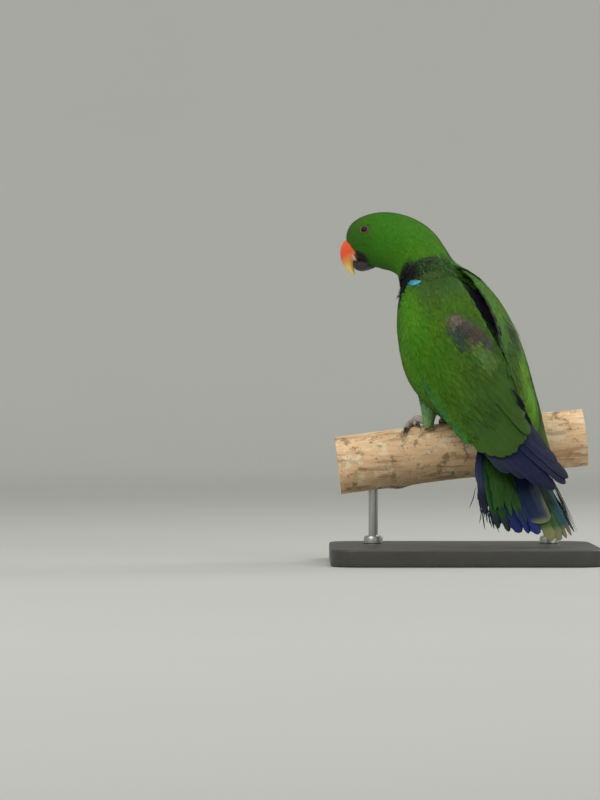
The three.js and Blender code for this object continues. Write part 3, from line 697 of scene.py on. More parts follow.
# Feathers
# Forms: places along the feather, half width at each, and places across it
FORMS = {
    "tuft": ([0, 0.45, 0.8, 1], [0.4, 1, 0.8, 0.15], [-1, 0, 1]),
    "contour": ([0, 0.3, 0.6, 0.85, 1], [0.35, 0.9, 1, 0.72, 0.15], [-1, 0, 1]),
    "covert": (
        [0, 0.25, 0.5, 0.7, 0.85, 0.95, 1], [0.35, 0.8, 1, 0.98, 0.82, 0.5, 0.12], [-1, -0.5, 0, 0.5, 1],
    ),
}
QUILL_ACROSS = [-1, -0.78, -0.5, -0.22, -0.06, 0, 0.06, 0.22, 0.5, 0.78, 1]
QUILL_ALONG = [*np.linspace(0, 0.7, 9), 0.76, 0.81, 0.85, 0.885, 0.915, 0.94, 0.96, 0.975, 0.988, 1]


def quill_outline(point):
    """Half widths down a long feather whose tip is round at point 0 and slimmer above it."""
    t = np.array(QUILL_ALONG)
    start = 0.9 - 0.4 * point
    end = np.sqrt(np.clip(1 - (np.clip(t - start, 0, 1) / (1.001 - start)) ** (2.2 - 0.7 * point), 0, 1))
    return (0.35 + 0.65 * fade(t, 0, 0.45)) * end


QUILLS = {"round": 0.0, "oval": 0.5}
for kind, point in QUILLS.items():
    FORMS[kind] = (QUILL_ALONG, quill_outline(point), QUILL_ACROSS)


WING_SURFACES = {side: partial(wing_point, side) for side in WING_SIDES}
# Surfaces on which a step of one is a millimetre either way
SHEETS = (*WING_SURFACES.values(), tail_point)

# Feathers laid in one go: their rings, colours, two maps, and the places and plain colours of their roots
Group = namedtuple("Group", "rings colours vane bake roots tint")


def on_shaft(x):
    """Whether a place across a feather, from -1 to 1, lies on its shaft."""
    return abs(x) < 0.03


def stretch(surface, u, v):
    """Millimetres on a surface for a step of one in u and in v."""
    steps = []
    for du, dv in ((0.5, 0), (0, 0.01)):
        move = surface(u + du, v + dv, 0.0) - surface(u - du, v - dv, 0.0)
        steps.append(np.maximum(np.linalg.norm(move, axis=-1) / (2 * (du + dv)), 0.4))
    return steps


class Coat:
    """Feathers of one piece on surface(u, v, height), gathered as arrays and built as one mesh."""

    def __init__(self, name, surface, look, slot):
        self.name, self.surface, self.look, self.slot = name, surface, look, slot
        self.groups = []

    def lay(self, u, v, form, tint, turn=0.0, length=8.0, width=5.0, low=-1.5, high=0.3, camber=0.12,
            thick=0.07, bow=0.0, tilt=0.0, fray=0.0, curl=1.0, lead=1.0, shade=None, atlas=None):
        """Lays a feather from each root (u, v), along the lie `turn`.

        low and high are its heights at root and tip, curl how late it rises, tilt how far its +v side is
        raised, lead the width of that side, and fray how ragged its edges are. shade(t, x, tint) gives
        its colours, and atlas (u, v) its roots' places on the map for baking."""
        surface = self.surface
        along, outline, across = (np.array(f, float) for f in FORMS[form])
        ring_x = np.r_[across, across[-2:0:-1]]
        under = np.r_[np.zeros(len(across)), np.ones(len(across) - 2)]
        n = len(u)
        values = (turn, length, width, low, high, bow)
        turn, length, width, low, high, bow = (np.broadcast_to(k, n) for k in values)
        rings = np.empty((n, len(along), len(ring_x), 3))
        vane = np.empty((n, len(along), len(ring_x), 2))
        at_u, at_v = np.array(u, float), np.array(v, float)
        worn = (abs(ring_x) == 1) + 0.35 * (abs(ring_x) > 0.7)
        sides = np.where(ring_x > 0, ring_x * lead, ring_x)
        for i, t in enumerate(along):
            heading = turn + bow * (t - 0.5)
            per_u, per_v = (1.0, 1.0) if surface in SHEETS else stretch(surface, at_u, at_v)
            if i:
                step = (t - along[i - 1]) * length
                at_u = at_u + step * np.cos(heading) / per_u
                at_v = at_v + step * np.sin(heading) / per_v
            ragged = 1 - fray * t**2 * rng.random((n, len(ring_x))) * worn
            offset = sides * (width / 2 * outline[i])[:, None] * ragged
            per_u, per_v, heading = (np.broadcast_to(k, n)[:, None] for k in (per_u, per_v, heading))
            height = (low + (high - low) * t**curl)[:, None] + tilt * offset
            height = height + camber * (width / 10)[:, None] * (1 - ring_x**2) * outline[i]
            if form in QUILLS:
                height = height + 0.35 * (1 - t) * on_shaft(ring_x)
            height = height - under * thick
            place_u = at_u[:, None] - np.sin(heading) * offset / per_u
            place_v = at_v[:, None] + np.cos(heading) * offset / per_v
            rings[:, i] = surface(place_u, place_v, height)
            vane[:, i, :, 0] = offset * MM
            vane[:, i, :, 1] = t * length[:, None] * MM
        t, x = np.meshgrid(along, ring_x, indexing="ij")
        base = np.asarray(tint, float).reshape(-1, 1, 1, 3) * np.ones((n, 1, 1, 1))
        colours = (shade or plain_shade)(t[None, :, :, None], x[None, :, :, None], base)
        atlas_u, atlas_v = (np.reshape(k, (n, 1, 1)) for k in (atlas or bake_place(surface, u, v)))
        if form in QUILLS:
            cell = np.arange(n)[:, None, None]
            bake = np.stack(np.broadcast_arrays((cell + 0.5 + 0.42 * x) / n, 0.02 + 0.96 * t), -1)
        else:
            bake = np.stack([atlas_u + 0.0015 * x, atlas_v + 0.003 * (t - 0.5)], -1)
        roots = surface(np.asarray(u, float), np.asarray(v, float), low)
        colours = np.broadcast_to(colours, rings.shape)
        self.groups.append(Group(rings, colours, vane, bake, roots, base[:, 0, 0]))
        return self

    def build(self):
        """Joins the groups into one mesh object with its colours, vane map and baking map.

        Each group of long feathers has a shelf of the baking map to itself."""
        points, quads, tris, tints, vanes, bakes, borders = [], [], [], [], [], [], []
        start = 0
        for shelf, group in enumerate(self.groups):
            count, stations, ring = group.rings.shape[:3]
            wall, ends = ring_faces(stations, ring)
            starts = start + np.arange(count)[:, None, None] * stations * ring
            quads.append((starts + wall).reshape(-1, 4))
            tris.append((starts + ends).reshape(-1, 3))
            border = np.zeros((count, stations, ring), int)
            border[..., 0], border[..., ring // 2] = 1, 2
            border[:, [0, -1]] += 4
            borders.append(border.ravel())
            points.append(group.rings.reshape(-1, 3))
            tints.append(group.colours.reshape(-1, 3))
            vanes.append(group.vane.reshape(-1, 2))
            bake = group.bake.reshape(-1, 2).copy()
            if ring > 10:
                bake[:, 1] = (bake[:, 1] + shelf) / len(self.groups)
            bakes.append(bake)
            start += count * stations * ring
        tris = np.concatenate(tris)
        piece = mesh_object(
            self.name, np.concatenate(points), np.concatenate(quads), tris, self.look,
            np.concatenate(tints), [("Vane", np.concatenate(vanes)), ("OFBake", np.concatenate(bakes))],
            np.concatenate(borders),
        )
        return piece


def bake_place(surface, u, v):
    """A root's place on an unwrap of the surface: along it and round it, from 0 to 1."""
    if surface in WING_SURFACES.values():
        return np.asarray(u) / 300 * 0.98 + 0.01, (np.asarray(v) + 60) / 120
    if surface is tail_point:
        return (np.asarray(u) + 20) / 160, (np.asarray(v) + 70) / 140
    round_it = np.mod(np.asarray(v) / (2 * math.pi) + 0.5, 1)
    return np.asarray(u) / BODY_END * 0.98 + 0.01, round_it * 0.98 + 0.01


def plain_shade(t, x, base):
    """A feather a little darker at its root and edges, and lighter towards its tip."""
    return base * (0.84 + 0.2 * t) * (1 - 0.1 * x**2)


def mixed(first, second, share):
    """Colours mixed row by row."""
    share = np.clip(np.asarray(share, float), 0, 1)[..., None]
    return first * (1 - share) + np.asarray(second) * share


def painted(base, *layers):
    """Colours laid over a base in turn, each a colour and its share, from 0 to 1, at each place."""
    for colour, share in layers:
        base = mixed(base, colour, share)
    return base


def spot(u, v, at, reach, edge=0.5):
    """How much of a marking lies at (u, v): 1 inside an oval round `at`, fading past its reach."""
    d = np.hypot((u - at[0]) / reach[0], (v - at[1]) / reach[1])
    return 1 - fade(d, 1 - edge, 1 + edge)


def scattered(n, amount):
    return rng.normal(0, amount, n)


def varied(colours, amount, n=None):
    """Colours a little lighter or darker and warmer or cooler than each other; n is for one colour alone."""
    n = n or len(colours)
    warm = rng.normal(0, amount * 0.4, (n, 1)) * np.array([1.0, 0.1, -0.6])
    return np.clip(colours * (1 + rng.normal(0, amount, (n, 1)) + warm), 0.001, 1)


def row_places(surface, start, end, pitch, v_low, v_high, gap):
    """Roots in staggered, slightly uneven rows: places u from start to end, across from v_low to v_high.

    pitch(u) is the step between rows and gap(u) the step across, both in millimetres on the surface."""
    us, vs = [], []
    u, row = start, 0
    middle = (v_low + v_high) / 2
    while u < end:
        per_u, _ = stretch(surface, np.array([u]), np.array([middle]))
        line = np.linspace(v_low, v_high, 160)
        walk = surface(np.full(160, u), line, 0.0)
        reach = np.r_[0, np.cumsum(np.linalg.norm(np.diff(walk, axis=0), axis=1))]
        count = max(int(reach[-1] / gap(u)), 1)
        places = (np.arange(count) + (0.5 if row % 2 else 0.0) + 0.25) / count * reach[-1]
        places = places + rng.normal(0, 0.13 * gap(u), count)
        vs.append(np.interp(places, reach, line))
        us.append(u + rng.normal(0, 0.16 * pitch(u), count) / per_u[0])
        u += pitch(u) / per_u[0]
        row += 1
    return np.concatenate(us), np.concatenate(vs)


# Feathers' colours by place
def body_tint(s, angle):
    """The body's colour at a place: greens, a dark patch at the wing's bend, painted shade at the gape, and a
    strip of painted shade in the seam between the wings.
    """
    turn = np.degrees(np.mod(angle + math.pi, 2 * math.pi) - math.pi)
    side = abs(turn)
    return painted(
        CROWN_GREEN,
        (NAPE_GREEN, fade(s, 45, 85)),
        (FOREHEAD_GREEN, spot(s, side, (6, 20), (20, 60), 0.6)),
        (CHEEK_GREEN, spot(s, side, (20, 100), (18, 40), 0.8) * 0.8),
        (THROAT_GREEN, fade(side, 115, 165) * (1 - fade(s, 60, 110))),
        (BREAST_GREEN, fade(s, 95, 130)),
        (BELLY_GREEN, fade(s, 190, 240)),
        (BACK_GREEN, fade(s, 96, 118) * (1 - fade(side, 60, 95))),
        (CHARCOAL, spot(s, side, (97, 88), (9, 30), 0.5)),
        (CHARCOAL, spot(s, side, (101, 110), (10, 16), 0.6) * 0.9),
        # Painted shade in the corner of the gape
        (GAPE_SHADE, spot(s, side, (18.5, 134), (8.5, 21), 0.3)),
        # Painted shade: a dark strip along the seam between the wings
        (SEAM_SHADE, spot(s, turn + (s - 150) * 0.35, (178, -8), (45, 21), 0.25)),
        (FLANK_RED, spot(s, side, (165, 90), (26, 7))),
    )


# The bend of the left wing, whose top edge shows level: its middle, and the two parts of its tilt
BEND = {"a": 30, "b": -1, "cos": 0.75, "sin": 0.66}


def bend_rim(level):
    """How far below the bend's middle its dark edge lies, at a place along it."""
    return -2.5 + 0.10 * np.maximum(-level - 4, 0) ** 2


def left_layers(a, b):
    """The left wing's own markings: its dark bend with a turquoise patch, and the worn patch at its back."""
    level = (a - BEND["a"]) * BEND["cos"] - (b - BEND["b"]) * BEND["sin"]
    down = (a - BEND["a"]) * BEND["sin"] + (b - BEND["b"]) * BEND["cos"]
    rim = bend_rim(level)
    return [
        (RUFF_DARK, (1 - fade(a, 20, 40)) * fade(-b, 4, 16) * 0.7),
        (BEND_TURQUOISE, spot(level, down - rim, (-1, 2.2), (7.5, 2.5), 0.25)),
        (CHARCOAL, (1 - fade(down, rim - 2.5, rim + 0.5)) * (1 - fade(level, 2, 10))),
        (WORN_MAUVE, spot(a, b, (95, -20), (10, 8), 0.6) * 0.95),
        (WORN_MAUVE, spot(a, b, (109, -28), (14, 10), 0.6) * 0.95),
        (WORN_MAUVE, spot(a, b, (124, -34), (13, 8), 0.6) * 0.95),
        (WORN_SLATE, spot(a, b, (112, -17), (14, 6), 0.7) * 0.85),
        (WORN_PALE, spot(a, b, (92, -21), (6, 5), 0.8) * 0.8),
        (SCAPULAR_OLIVE, spot(a, b, (142, -27), (15, 8), 0.5) * 0.8),
    ]


def right_layers(a, b):
    """The right wing's own markings: its dark bend, lime streak and dark worn spots, painted light on its
    inner part near the back, and painted shade on its hem over the back.
    """
    hem = fade(-b - WING_REACH(a), 10.5, 13)
    return [
        (CHARCOAL, (1 - fade(a, 12, 17)) * (1 - fade(-b, 0, 10))),
        # Painted light: the inner part near the back is lightened as though lit
        (FAR_PAINTED_LIGHT, fade(-b, 2, 14) * (1 - fade(a, 120, 150)) * 0.8),
        (LIME, spot(a, b, (168, -24), (46, 9), 0.6) * 0.75),
        (NAVY_DARK, spot(a, b, (114, -36), (17, 8), 0.8) * 0.75),
        (WORN_MAUVE, spot(a, b, (128, -30), (9, 6), 0.8) * 0.5),
        # Painted shade: the hem where this wing laps the back is darkened for the seam's shade
        (SEAM_SHADE, hem * fade(a, 30, 44) * (1 - fade(a, 136, 150))),
    ]


def wing_tint(side, a, b):
    """The wing's colour at a place on its sheet: bright in front, olive at the shoulder, deep below."""
    front = mixed(WING_BRIGHT, WING_MIDDLE, fade(a, 66, 100))
    return painted(
        SHOULDER_OLIVE,
        (WING_GREEN, fade(a, 48, 76)),
        (front, fade(b, -12, 22) * (1 - fade(a, 96, 158))),
        (WING_DEEP, fade(a - 0.9 * b, 122, 184) * 0.9),
        (WING_TIP, fade(a, 186, 216) * 0.9),
        (WING_EDGE, fade(b, 26, 38) * fade(a, 60, 90) * (1 - 0.5 * fade(a, 120, 170)) * 0.6),
        (EDGE_TEAL, fade(b, 33, 39) * fade(a, 104, 126) * 0.45),
        *(left_layers(a, b) if side == "left" else right_layers(a, b)),
    )


FEATHERS = feather_look("feather", 0.0007, 0.7, 0.45, 0.65)
SILK = feather_look("feather_head", 0.0005, 0.65, 0.3, 0.6)
FLIGHT = feather_look("feather_flight", 0.0009, 0.6, 0.35, 0.15)


def ramp(*knots):
    """A smooth function through (x, y) pairs."""
    return lambda x: station(knots, x)[..., 0]


# How far feathers cover a wing's sheet to each side of its middle
WING_REACH = ramp((6, 14), (14, 22), (24, 32), (50, 40), (85, 43), (130, 42), (210, 36))


# Head, neck and body
def skin_depth(s):
    """How far the skin lies under the feathers' surface."""
    return 0.7 + 0.6 * fade(s, 20, 120)


# A place amid the bill in the head's frame, and how far round it roots may lie inside the bill
BILL_MIDDLE, BILL_REACH = (2, 0, -8), 26
# How far round from the middle of the back its half of the coat reaches
BACK_ANGLE = 1.45


def clear_of_face(points, bill):
    """Which roots lie outside the eyes and the bill."""
    hidden = np.zeros(len(points), bool)
    for sign in (1, -1):
        centre = body_point(EYE["place"], sign * EYE["angle"], 0.0)
        hidden |= np.linalg.norm(points - centre, axis=-1) < EYE["radius"] + 0.2
    near = np.linalg.norm(points - head_point(*BILL_MIDDLE), axis=-1) < BILL_REACH
    hidden[near] |= inside(bill, points[near])
    return ~hidden


def body_coat(name, look, start, end, pitch, gap, form, length, width, rise, jitter=0.08, half=None,
              clear=None):
    """A piece of the body's coat between two places along it, all round or only its back or front half."""
    s, angle = row_places(body_point, start, end, pitch, -math.pi, math.pi, gap)
    if half:
        shown = (abs(angle) < BACK_ANGLE) == (half == "back")
        s, angle = s[shown], angle[shown]
    if clear:
        shown = clear_of_face(body_point(s, angle, -0.5), clear)
        s, angle = s[shown], angle[shown]
    n = len(s)
    coat = Coat(name, body_point, look, "feathers_green")
    return coat.lay(
        s, angle, form, varied(body_tint(s + length(s) * 0.6, angle), 0.1), turn=scattered(n, jitter),
        length=length(s) * rng.uniform(0.85, 1.15, n), width=width(s) * rng.uniform(0.85, 1.15, n),
        low=0.2 - skin_depth(s), high=rise(s) + abs(scattered(n, 0.05)), curl=0.8, fray=0.1,
    )


def body_coats(bill):
    """The head's and neck's short silky tufts, and the trunk's broader feathers."""
    trunk = (
        ramp((104, 2.6), (180, 3.4), (306, 3.8)), ramp((104, 2.3), (180, 3.0), (306, 3.4)), "contour",
        ramp((104, 11), (180, 15), (306, 17)), ramp((104, 4.2), (180, 5.4), (306, 6.0)),
    )
    return [
        body_coat(
            "coat_head", SILK, 1.2, 62, ramp((0, 1.0), (20, 1.3), (62, 1.9)),
            ramp((0, 0.9), (20, 1.0), (62, 1.5)), "tuft", ramp((0, 2.6), (20, 3.8), (62, 6.5)),
            ramp((0, 1.3), (20, 1.6), (62, 2.5)), ramp((0, 0.0), (62, 0.1)), 0.05, clear=tree_of(bill),
        ),
        body_coat(
            "coat_neck", SILK, 60, 108, ramp((60, 1.8), (108, 2.8)), ramp((60, 1.5), (108, 2.4)), "tuft",
            ramp((60, 6.5), (108, 11)), ramp((60, 2.5), (108, 4.2)), ramp((60, 0.1), (108, 0.4)),
        ),
        body_coat("coat_breast", FEATHERS, 104, 306, *trunk, ramp((104, 0.2), (306, 0.2)), half="front"),
        body_coat("coat_back", FEATHERS, 104, 306, *trunk, ramp((104, 0.3), (306, 0.3)), 0.12, half="back"),
    ]


def wisps():
    """Dark loose tufts at the neck's foot, over the wing's bend, and brown ones in front of them."""
    coat = Coat("coat_wisps", body_point, SILK, "feathers_green")
    pitch, gap = ramp((86, 1.5), (108, 1.8)), ramp((86, 1.3), (108, 1.6))
    s, angle = row_places(body_point, 86, 108, pitch, 0.6, 2.3, gap)
    turn = np.degrees(angle)
    dark = np.maximum(spot(s, turn, (97, 86), (11, 31), 0.3), spot(s, turn, (103, 114), (9, 14), 0.3))
    shown = dark > 0.3
    s, angle, dark = s[shown], angle[shown], dark[shown]
    n = len(s)
    coat.lay(
        s, angle, "tuft", varied(mixed(NAPE_GREEN * 0.6, CHARCOAL, dark * 1.3), 0.15),
        turn=scattered(n, 0.16), length=rng.uniform(9, 13, n) - 0.2 * (s - 84),
        width=rng.uniform(1.6, 2.8, n), low=-1.5, high=rng.uniform(0.4, 1.6, n), fray=0.3, curl=0.9,
    )
    n = 34
    return coat.lay(
        rng.uniform(95, 112, n), np.radians(rng.uniform(100, 126, n)), "tuft",
        varied(mixed(WISP_BROWN, RUFF_DARK, rng.random(n) * 0.7), 0.2), turn=scattered(n, 0.35),
        length=rng.uniform(7, 13, n), width=rng.uniform(0.7, 1.3, n), low=-1.0,
        high=rng.uniform(1.2, 4.0, n), bow=scattered(n, 0.5),
    )


def ruff():
    """A ruffled collar over the top of the back: feathers, and thin dark tufts among them."""
    coat = Coat("coat_ruff", body_point, FEATHERS, "feathers_green")
    pitch, gap = ramp((92, 2.3), (122, 3.4)), ramp((92, 2.0), (122, 3.0))
    s, angle = row_places(body_point, 92, 122, pitch, -1.9, 0.75, gap)
    n = len(s)
    coat.lay(
        s, angle, "contour", varied(mixed(body_tint(s, angle), BACK_GREEN, rng.random(n) * 0.8), 0.16),
        turn=scattered(n, 0.12), length=rng.uniform(12, 20, n), width=rng.uniform(2.0, 3.4, n), low=-0.4,
        high=rng.uniform(0.6, 2.2, n), fray=0.3, bow=scattered(n, 0.25), curl=0.9,
    )
    n = 420
    angle = rng.uniform(-1.3, 0.9, n)
    s = rng.uniform(93, 128, n)
    return coat.lay(
        s, angle, "tuft", varied(mixed(RUFF_DARK, NAPE_GREEN * 0.85, rng.random(n) * 1.1), 0.2),
        turn=rng.normal(-0.05, 0.12, n), length=rng.uniform(12, 20, n), width=rng.uniform(0.7, 1.3, n),
        low=-0.2, high=rng.uniform(0.5, 2.0, n), bow=rng.normal(-0.1, 0.2, n), curl=0.9,
    )


def mantle():
    """Soft feathers between the wings, raised under the right one's edge, and a ruffled ridge above them."""
    coat = Coat("coat_mantle", body_point, FEATHERS, "feathers_green")
    pitch, gap = ramp((100, 3), (236, 4)), ramp((100, 2.6), (236, 3.4))
    s, angle = row_places(body_point, 100, 236, pitch, -0.95, 0.45, gap)
    n = len(s)
    far = fade(-np.degrees(angle), 0, 22) * (1 - fade(s, 128, 160))
    coat.lay(
        s, angle, "contour", varied(body_tint(s + 8, angle), 0.14), turn=rng.normal(-0.1, 0.1, n),
        length=rng.uniform(15, 24, n), width=rng.uniform(2.8, 4.6, n), low=-0.2 + 1.5 * far,
        high=rng.uniform(1.8, 3.0, n) + 3.4 * far, bow=scattered(n, 0.2), fray=0.25, curl=0.9,
    )
    n = 190
    s = rng.uniform(102, 136, n)
    tint = varied(mixed(RUFF_DARK, NAPE_GREEN, rng.random(n) * 1.2), 0.16)
    return coat.lay(
        s, np.radians(rng.uniform(-40, -5, n)), "contour", tint, turn=rng.normal(-0.1, 0.16, n),
        length=rng.uniform(13, 20, n), width=rng.uniform(1.8, 3.2, n), low=1.6,
        high=rng.uniform(4.2, 6.6, n), bow=scattered(n, 0.25), fray=0.3, curl=0.9,
    )


# Wings. Rows of long feathers as in the CAD source; tips are the places of each one's tip, from the wing's
# lower edge to its upper edge.
FLIGHT_ROWS = [
    {"name": "primaries", "count": 8, "roots": [[134, 17], [142, -12]],
     "tips": [[238, 27], [254, 21], [268, 15], [279, 9], [284, -7], [285, -16], [267, -21], [251, -25]],
     "width": 19, "tilt": 5, "rise": [-6.4, -2.6]},
    {"name": "secondaries", "count": 10, "roots": [[122, 24], [120, -16]],
     "tips": [[190, 35], [205, 31], [219, 27], [227, 21], [231, 14], [230, 7], [229, 0], [229, -7]],
     "width": 19, "tilt": 4, "rise": [-3.4, -1.0]},
    {"name": "tertials", "count": 5, "roots": [[104, -14], [96, -34]],
     "tips": [[228, -15], [214, -21], [200, -27], [186, -33], [174, -38]],
     "width": 17, "tilt": 4, "rise": [-3.2, 0.4]},
    {"name": "primary_coverts", "count": 4, "roots": [[80, 40], [84, 26]], "tips": [[140, 41], [150, 34]],
     "width": 12, "tilt": 4, "rise": [-4.2, -1.6]},
    {"name": "greater_coverts", "count": 12, "roots": [[82, 34], [86, -32]],
     "tips": [[136, 36], [146, 18], [150, 0], [148, -16], [140, -34]],
     "width": 14, "tilt": 4, "rise": [-3.6, -1.3]},
]
# How much further along the wing the right one's tips lie
RIGHT_TIPS = {"primaries": -12}


def flight_shade(edge, tip, dark):
    """A long feather: a light outer edge, its hidden web dark, a thin dark shaft, and a worn tip."""

    def shade(t, x, base):
        c = base + 0 * (t + x)
        c = c + (edge - c) * fade(x, 0.6, 1.0) * 0.3
        c = c + (dark - c) * fade(-x, 0.5, 1.0) * 0.4
        c = c + (tip - c) * fade(t, 0.8, 1.0) * 0.5
        return c * (1 - 0.2 * on_shaft(x)) * (0.88 + 0.15 * t)

    return shade


def flight_feathers(side):
    """A wing's long feathers, row by row, from the lowest row to the highest."""
    coat = Coat(f"coat_flight_{side}", WING_SURFACES[side], FLIGHT, "feathers_wing")
    for row in FLIGHT_ROWS:
        name, n = row["name"], row["count"]
        k = np.linspace(0, 1, n)
        roots, tips = (np.array(row[key], float) for key in ("roots", "tips"))
        a0, b0 = (roots[0][c] * (1 - k) + roots[1][c] * k for c in (0, 1))
        a1, b1 = (station(np.column_stack([np.linspace(0, 1, len(tips)), tips]), k)[:, c] for c in (0, 1))
        if side == "right":
            a1 = a1 + RIGHT_TIPS.get(name, 0)
        low, high = (np.interp(a, [a0.min(), a1.max()], row["rise"]) for a in (a0, a1))
        tint = wing_tint(side, a0 * 0.3 + a1 * 0.7, b0 * 0.3 + b1 * 0.7)
        edge, tip, dark = tint.mean(0) * 1.3, WING_DEEP, WEB_DARK
        if name == "primaries":
            tint = mixed(NAVY, PRIMARY_SLATE, 1 - 3 * k) * (0.6 if side == "right" else 1)
            edge, tip, dark = PRIMARY_EDGE, NAVY_DARK * 0.5, NAVY_DARK
        if name == "primary_coverts":
            tint = mixed(tint, COVERT_TEAL, 0.3)
        if side == "right" and name in ("tertials", "secondaries"):
            edge = LIME * 0.8
        coat.lay(
            a0, b0, "round", varied(tint, 0.06), turn=np.arctan2(b1 - b0, a1 - a0),
            length=np.hypot(a1 - a0, b1 - b0) * rng.uniform(0.985, 1.015, n), width=row["width"], low=low,
            high=high + abs(scattered(n, 0.1)), tilt=math.tan(math.radians(row["tilt"])), camber=0.2,
            thick=0.22, fray=0.12, lead=0.85, shade=flight_shade(edge, tip, dark),
        )
    return coat


def wing_cover(side):
    """Small soft feathers over the wing's front, shoulder and coverts, thinning out over the long ones."""
    surface = WING_SURFACES[side]
    top = ramp((0, 0.2), (60, 0.1), (100, -0.2), (146, -0.25), (172, -0.6), (240, -0.4))
    pitch, gap = ramp((6, 1.9), (90, 3.0), (200, 4.2)), ramp((6, 1.7), (90, 2.5), (200, 3.2))
    length, width = ramp((6, 6), (50, 12), (120, 20), (190, 27)), ramp((6, 2.4), (90, 4.0), (190, 5.8))
    a, b = row_places(surface, 6, 190, pitch, -62, 46, gap)
    hem = (13 if side == "right" else 2) * (1 - fade(a, 120, 165))
    thinned = rng.random(len(a)) > fade(a, 136, 188)
    shown = (b < WING_REACH(a)) & (-b < WING_REACH(a) + hem) & thinned
    a, b = a[shown], b[shown]
    n = len(a)
    loose = spot(a, b, (102, -22), (26, 14), 0.4) if side == "left" else 0.3 * fade(-b, 20, 40)
    coat = Coat(f"coat_cover_{side}", surface, FEATHERS, "feathers_wing")
    return coat.lay(
        a, b, "contour", varied(wing_tint(side, a + length(a) * 0.7 + loose * scattered(n, 3), b), 0.11),
        turn=scattered(n, 0.06) + loose * scattered(n, 0.16) - 0.0015 * b,
        length=length(a) * rng.uniform(0.85, 1.15, n), width=width(a) * rng.uniform(0.85, 1.15, n),
        low=top(a) - 0.8, high=top(a + length(a)) + abs(scattered(n, 0.07)) + loose * 0.3, fray=0.14,
        curl=0.8,
    )


def wing_edge(side):
    """Feathers that wrap the wing's leading edge, and loose ones that lap its front from the neck."""
    coat = Coat(f"coat_edge_{side}", WING_SURFACES[side], FEATHERS, "feathers_wing")
    edge = ramp((6, 14), (14, 22), (24, 31), (50, 39), (85, 42), (130, 41), (175, 37))
    n = 620
    a = 12 + 172 * np.linspace(0, 1, n) ** 1.08 + scattered(n, 1.0)
    inset = rng.uniform(-5, 7, n)
    b = edge(a) - inset
    coat.lay(
        a, b, "contour", varied(wing_tint(side, a + 10, b - 4), 0.1), turn=rng.normal(-0.24, 0.05, n),
        length=rng.uniform(14, 21, n), width=rng.uniform(3, 4.4, n), low=-3.0 + 0.25 * inset,
        high=0.2 + abs(scattered(n, 0.06)), fray=0.08, curl=0.6,
    )
    # Feathers over the bend
    n = 420
    b = rng.uniform(-34, 16, n)
    a = rng.uniform(2, 15, n) + 0.12 * np.maximum(-b - 12, 0)
    tint = mixed(wing_tint(side, a + 6, b), RUFF_DARK, fade(-b, 4, 14) * rng.random(n) * 0.9)
    coat.lay(
        a, b, "contour", varied(tint, 0.14), turn=scattered(n, 0.12) - 0.006 * b,
        length=rng.uniform(9, 16, n) - 0.25 * fade(b, -12, -4) * 14, width=rng.uniform(1.8, 3.4, n),
        low=-1.6, high=rng.uniform(0.4, 1.4, n), bow=scattered(n, 0.3), fray=0.3, curl=0.8,
    )
    # Thin tufts behind the bend
    n = 300
    b = rng.uniform(-40, -9, n)
    a = rng.uniform(4, 26, n) - 0.2 * b - 4
    coat.lay(
        a, b, "tuft", varied(mixed(RUFF_DARK * 0.85, SHOULDER_OLIVE, rng.random(n) * 1.3), 0.15),
        turn=rng.normal(-0.12, 0.1, n), length=rng.uniform(12, 20, n), width=rng.uniform(0.8, 1.5, n),
        low=-0.4, high=rng.uniform(0.4, 1.3, n), bow=rng.normal(-0.1, 0.15, n),
    )
    if side == "left":
        turquoise_patch(coat)
    # Long curved strands over the shoulder
    n = 6
    coat.lay(
        rng.normal(25, 1.2, n), rng.normal(-5, 1.5, n), "tuft", varied(STRAND_OLIVE, 0.12, n),
        turn=rng.normal(-0.9, 0.08, n), length=rng.uniform(22, 36, n), width=rng.uniform(0.5, 0.8, n),
        low=0.6, high=1.2, bow=rng.normal(1.1, 0.1, n),
    )
    if side == "right":
        far_strands(coat)
    return coat


def turquoise_patch(coat):
    """Small bright feathers that hang from the dark rim of the bend in a lens-shaped patch."""
    n = 90
    level = np.linspace(-8.2, 6.6, n)
    rim = bend_rim(level)
    drop = rim + rng.uniform(-0.6, 1.2, n)
    reach = rim + 5.4 * (1 - (level / 9.5) ** 2) - drop
    a = BEND["a"] + BEND["cos"] * level + BEND["sin"] * drop
    b = BEND["b"] - BEND["sin"] * level + BEND["cos"] * drop
    coat.lay(
        a, b, "contour", varied(mixed(BEND_TURQUOISE, BEND_PALE, fade(level, -6, 5) * 0.8), 0.05),
        turn=0.85 + scattered(n, 0.06), length=np.maximum(reach, 1.0), width=1.9, low=0.1,
        high=0.75 + abs(scattered(n, 0.06)), fray=0.1, shade=lambda t, x, base: base * (0.9 + 0.1 * t),
    )


def far_strands(coat):
    """Pale worn strands across the right wing, and dark tufts lower down along its back edge, painted shade
    for the gap there.
    """
    n = 22
    coat.lay(
        rng.uniform(92, 108, n), rng.uniform(-42, -14, n), "tuft", varied(STRAND_PALE, 0.2, n),
        turn=rng.normal(0.7, 0.5, n), length=rng.uniform(6, 13, n), width=rng.uniform(0.5, 0.9, n), low=0.4,
        high=rng.uniform(0.8, 2.2, n), bow=scattered(n, 0.5),
    )
    # Painted shade: dark tufts along the gap at the wing's back edge
    n = 30
    a = np.linspace(176, 214, n)
    coat.lay(
        a, (a - 187) * 0.76 - 40 + scattered(n, 1.5), "tuft", varied(NAVY_DARK, 0.2, n),
        turn=rng.normal(0.62, 0.06, n), length=rng.uniform(12, 18, n), width=rng.uniform(1.6, 2.6, n),
        low=1.0, high=2.0,
    )


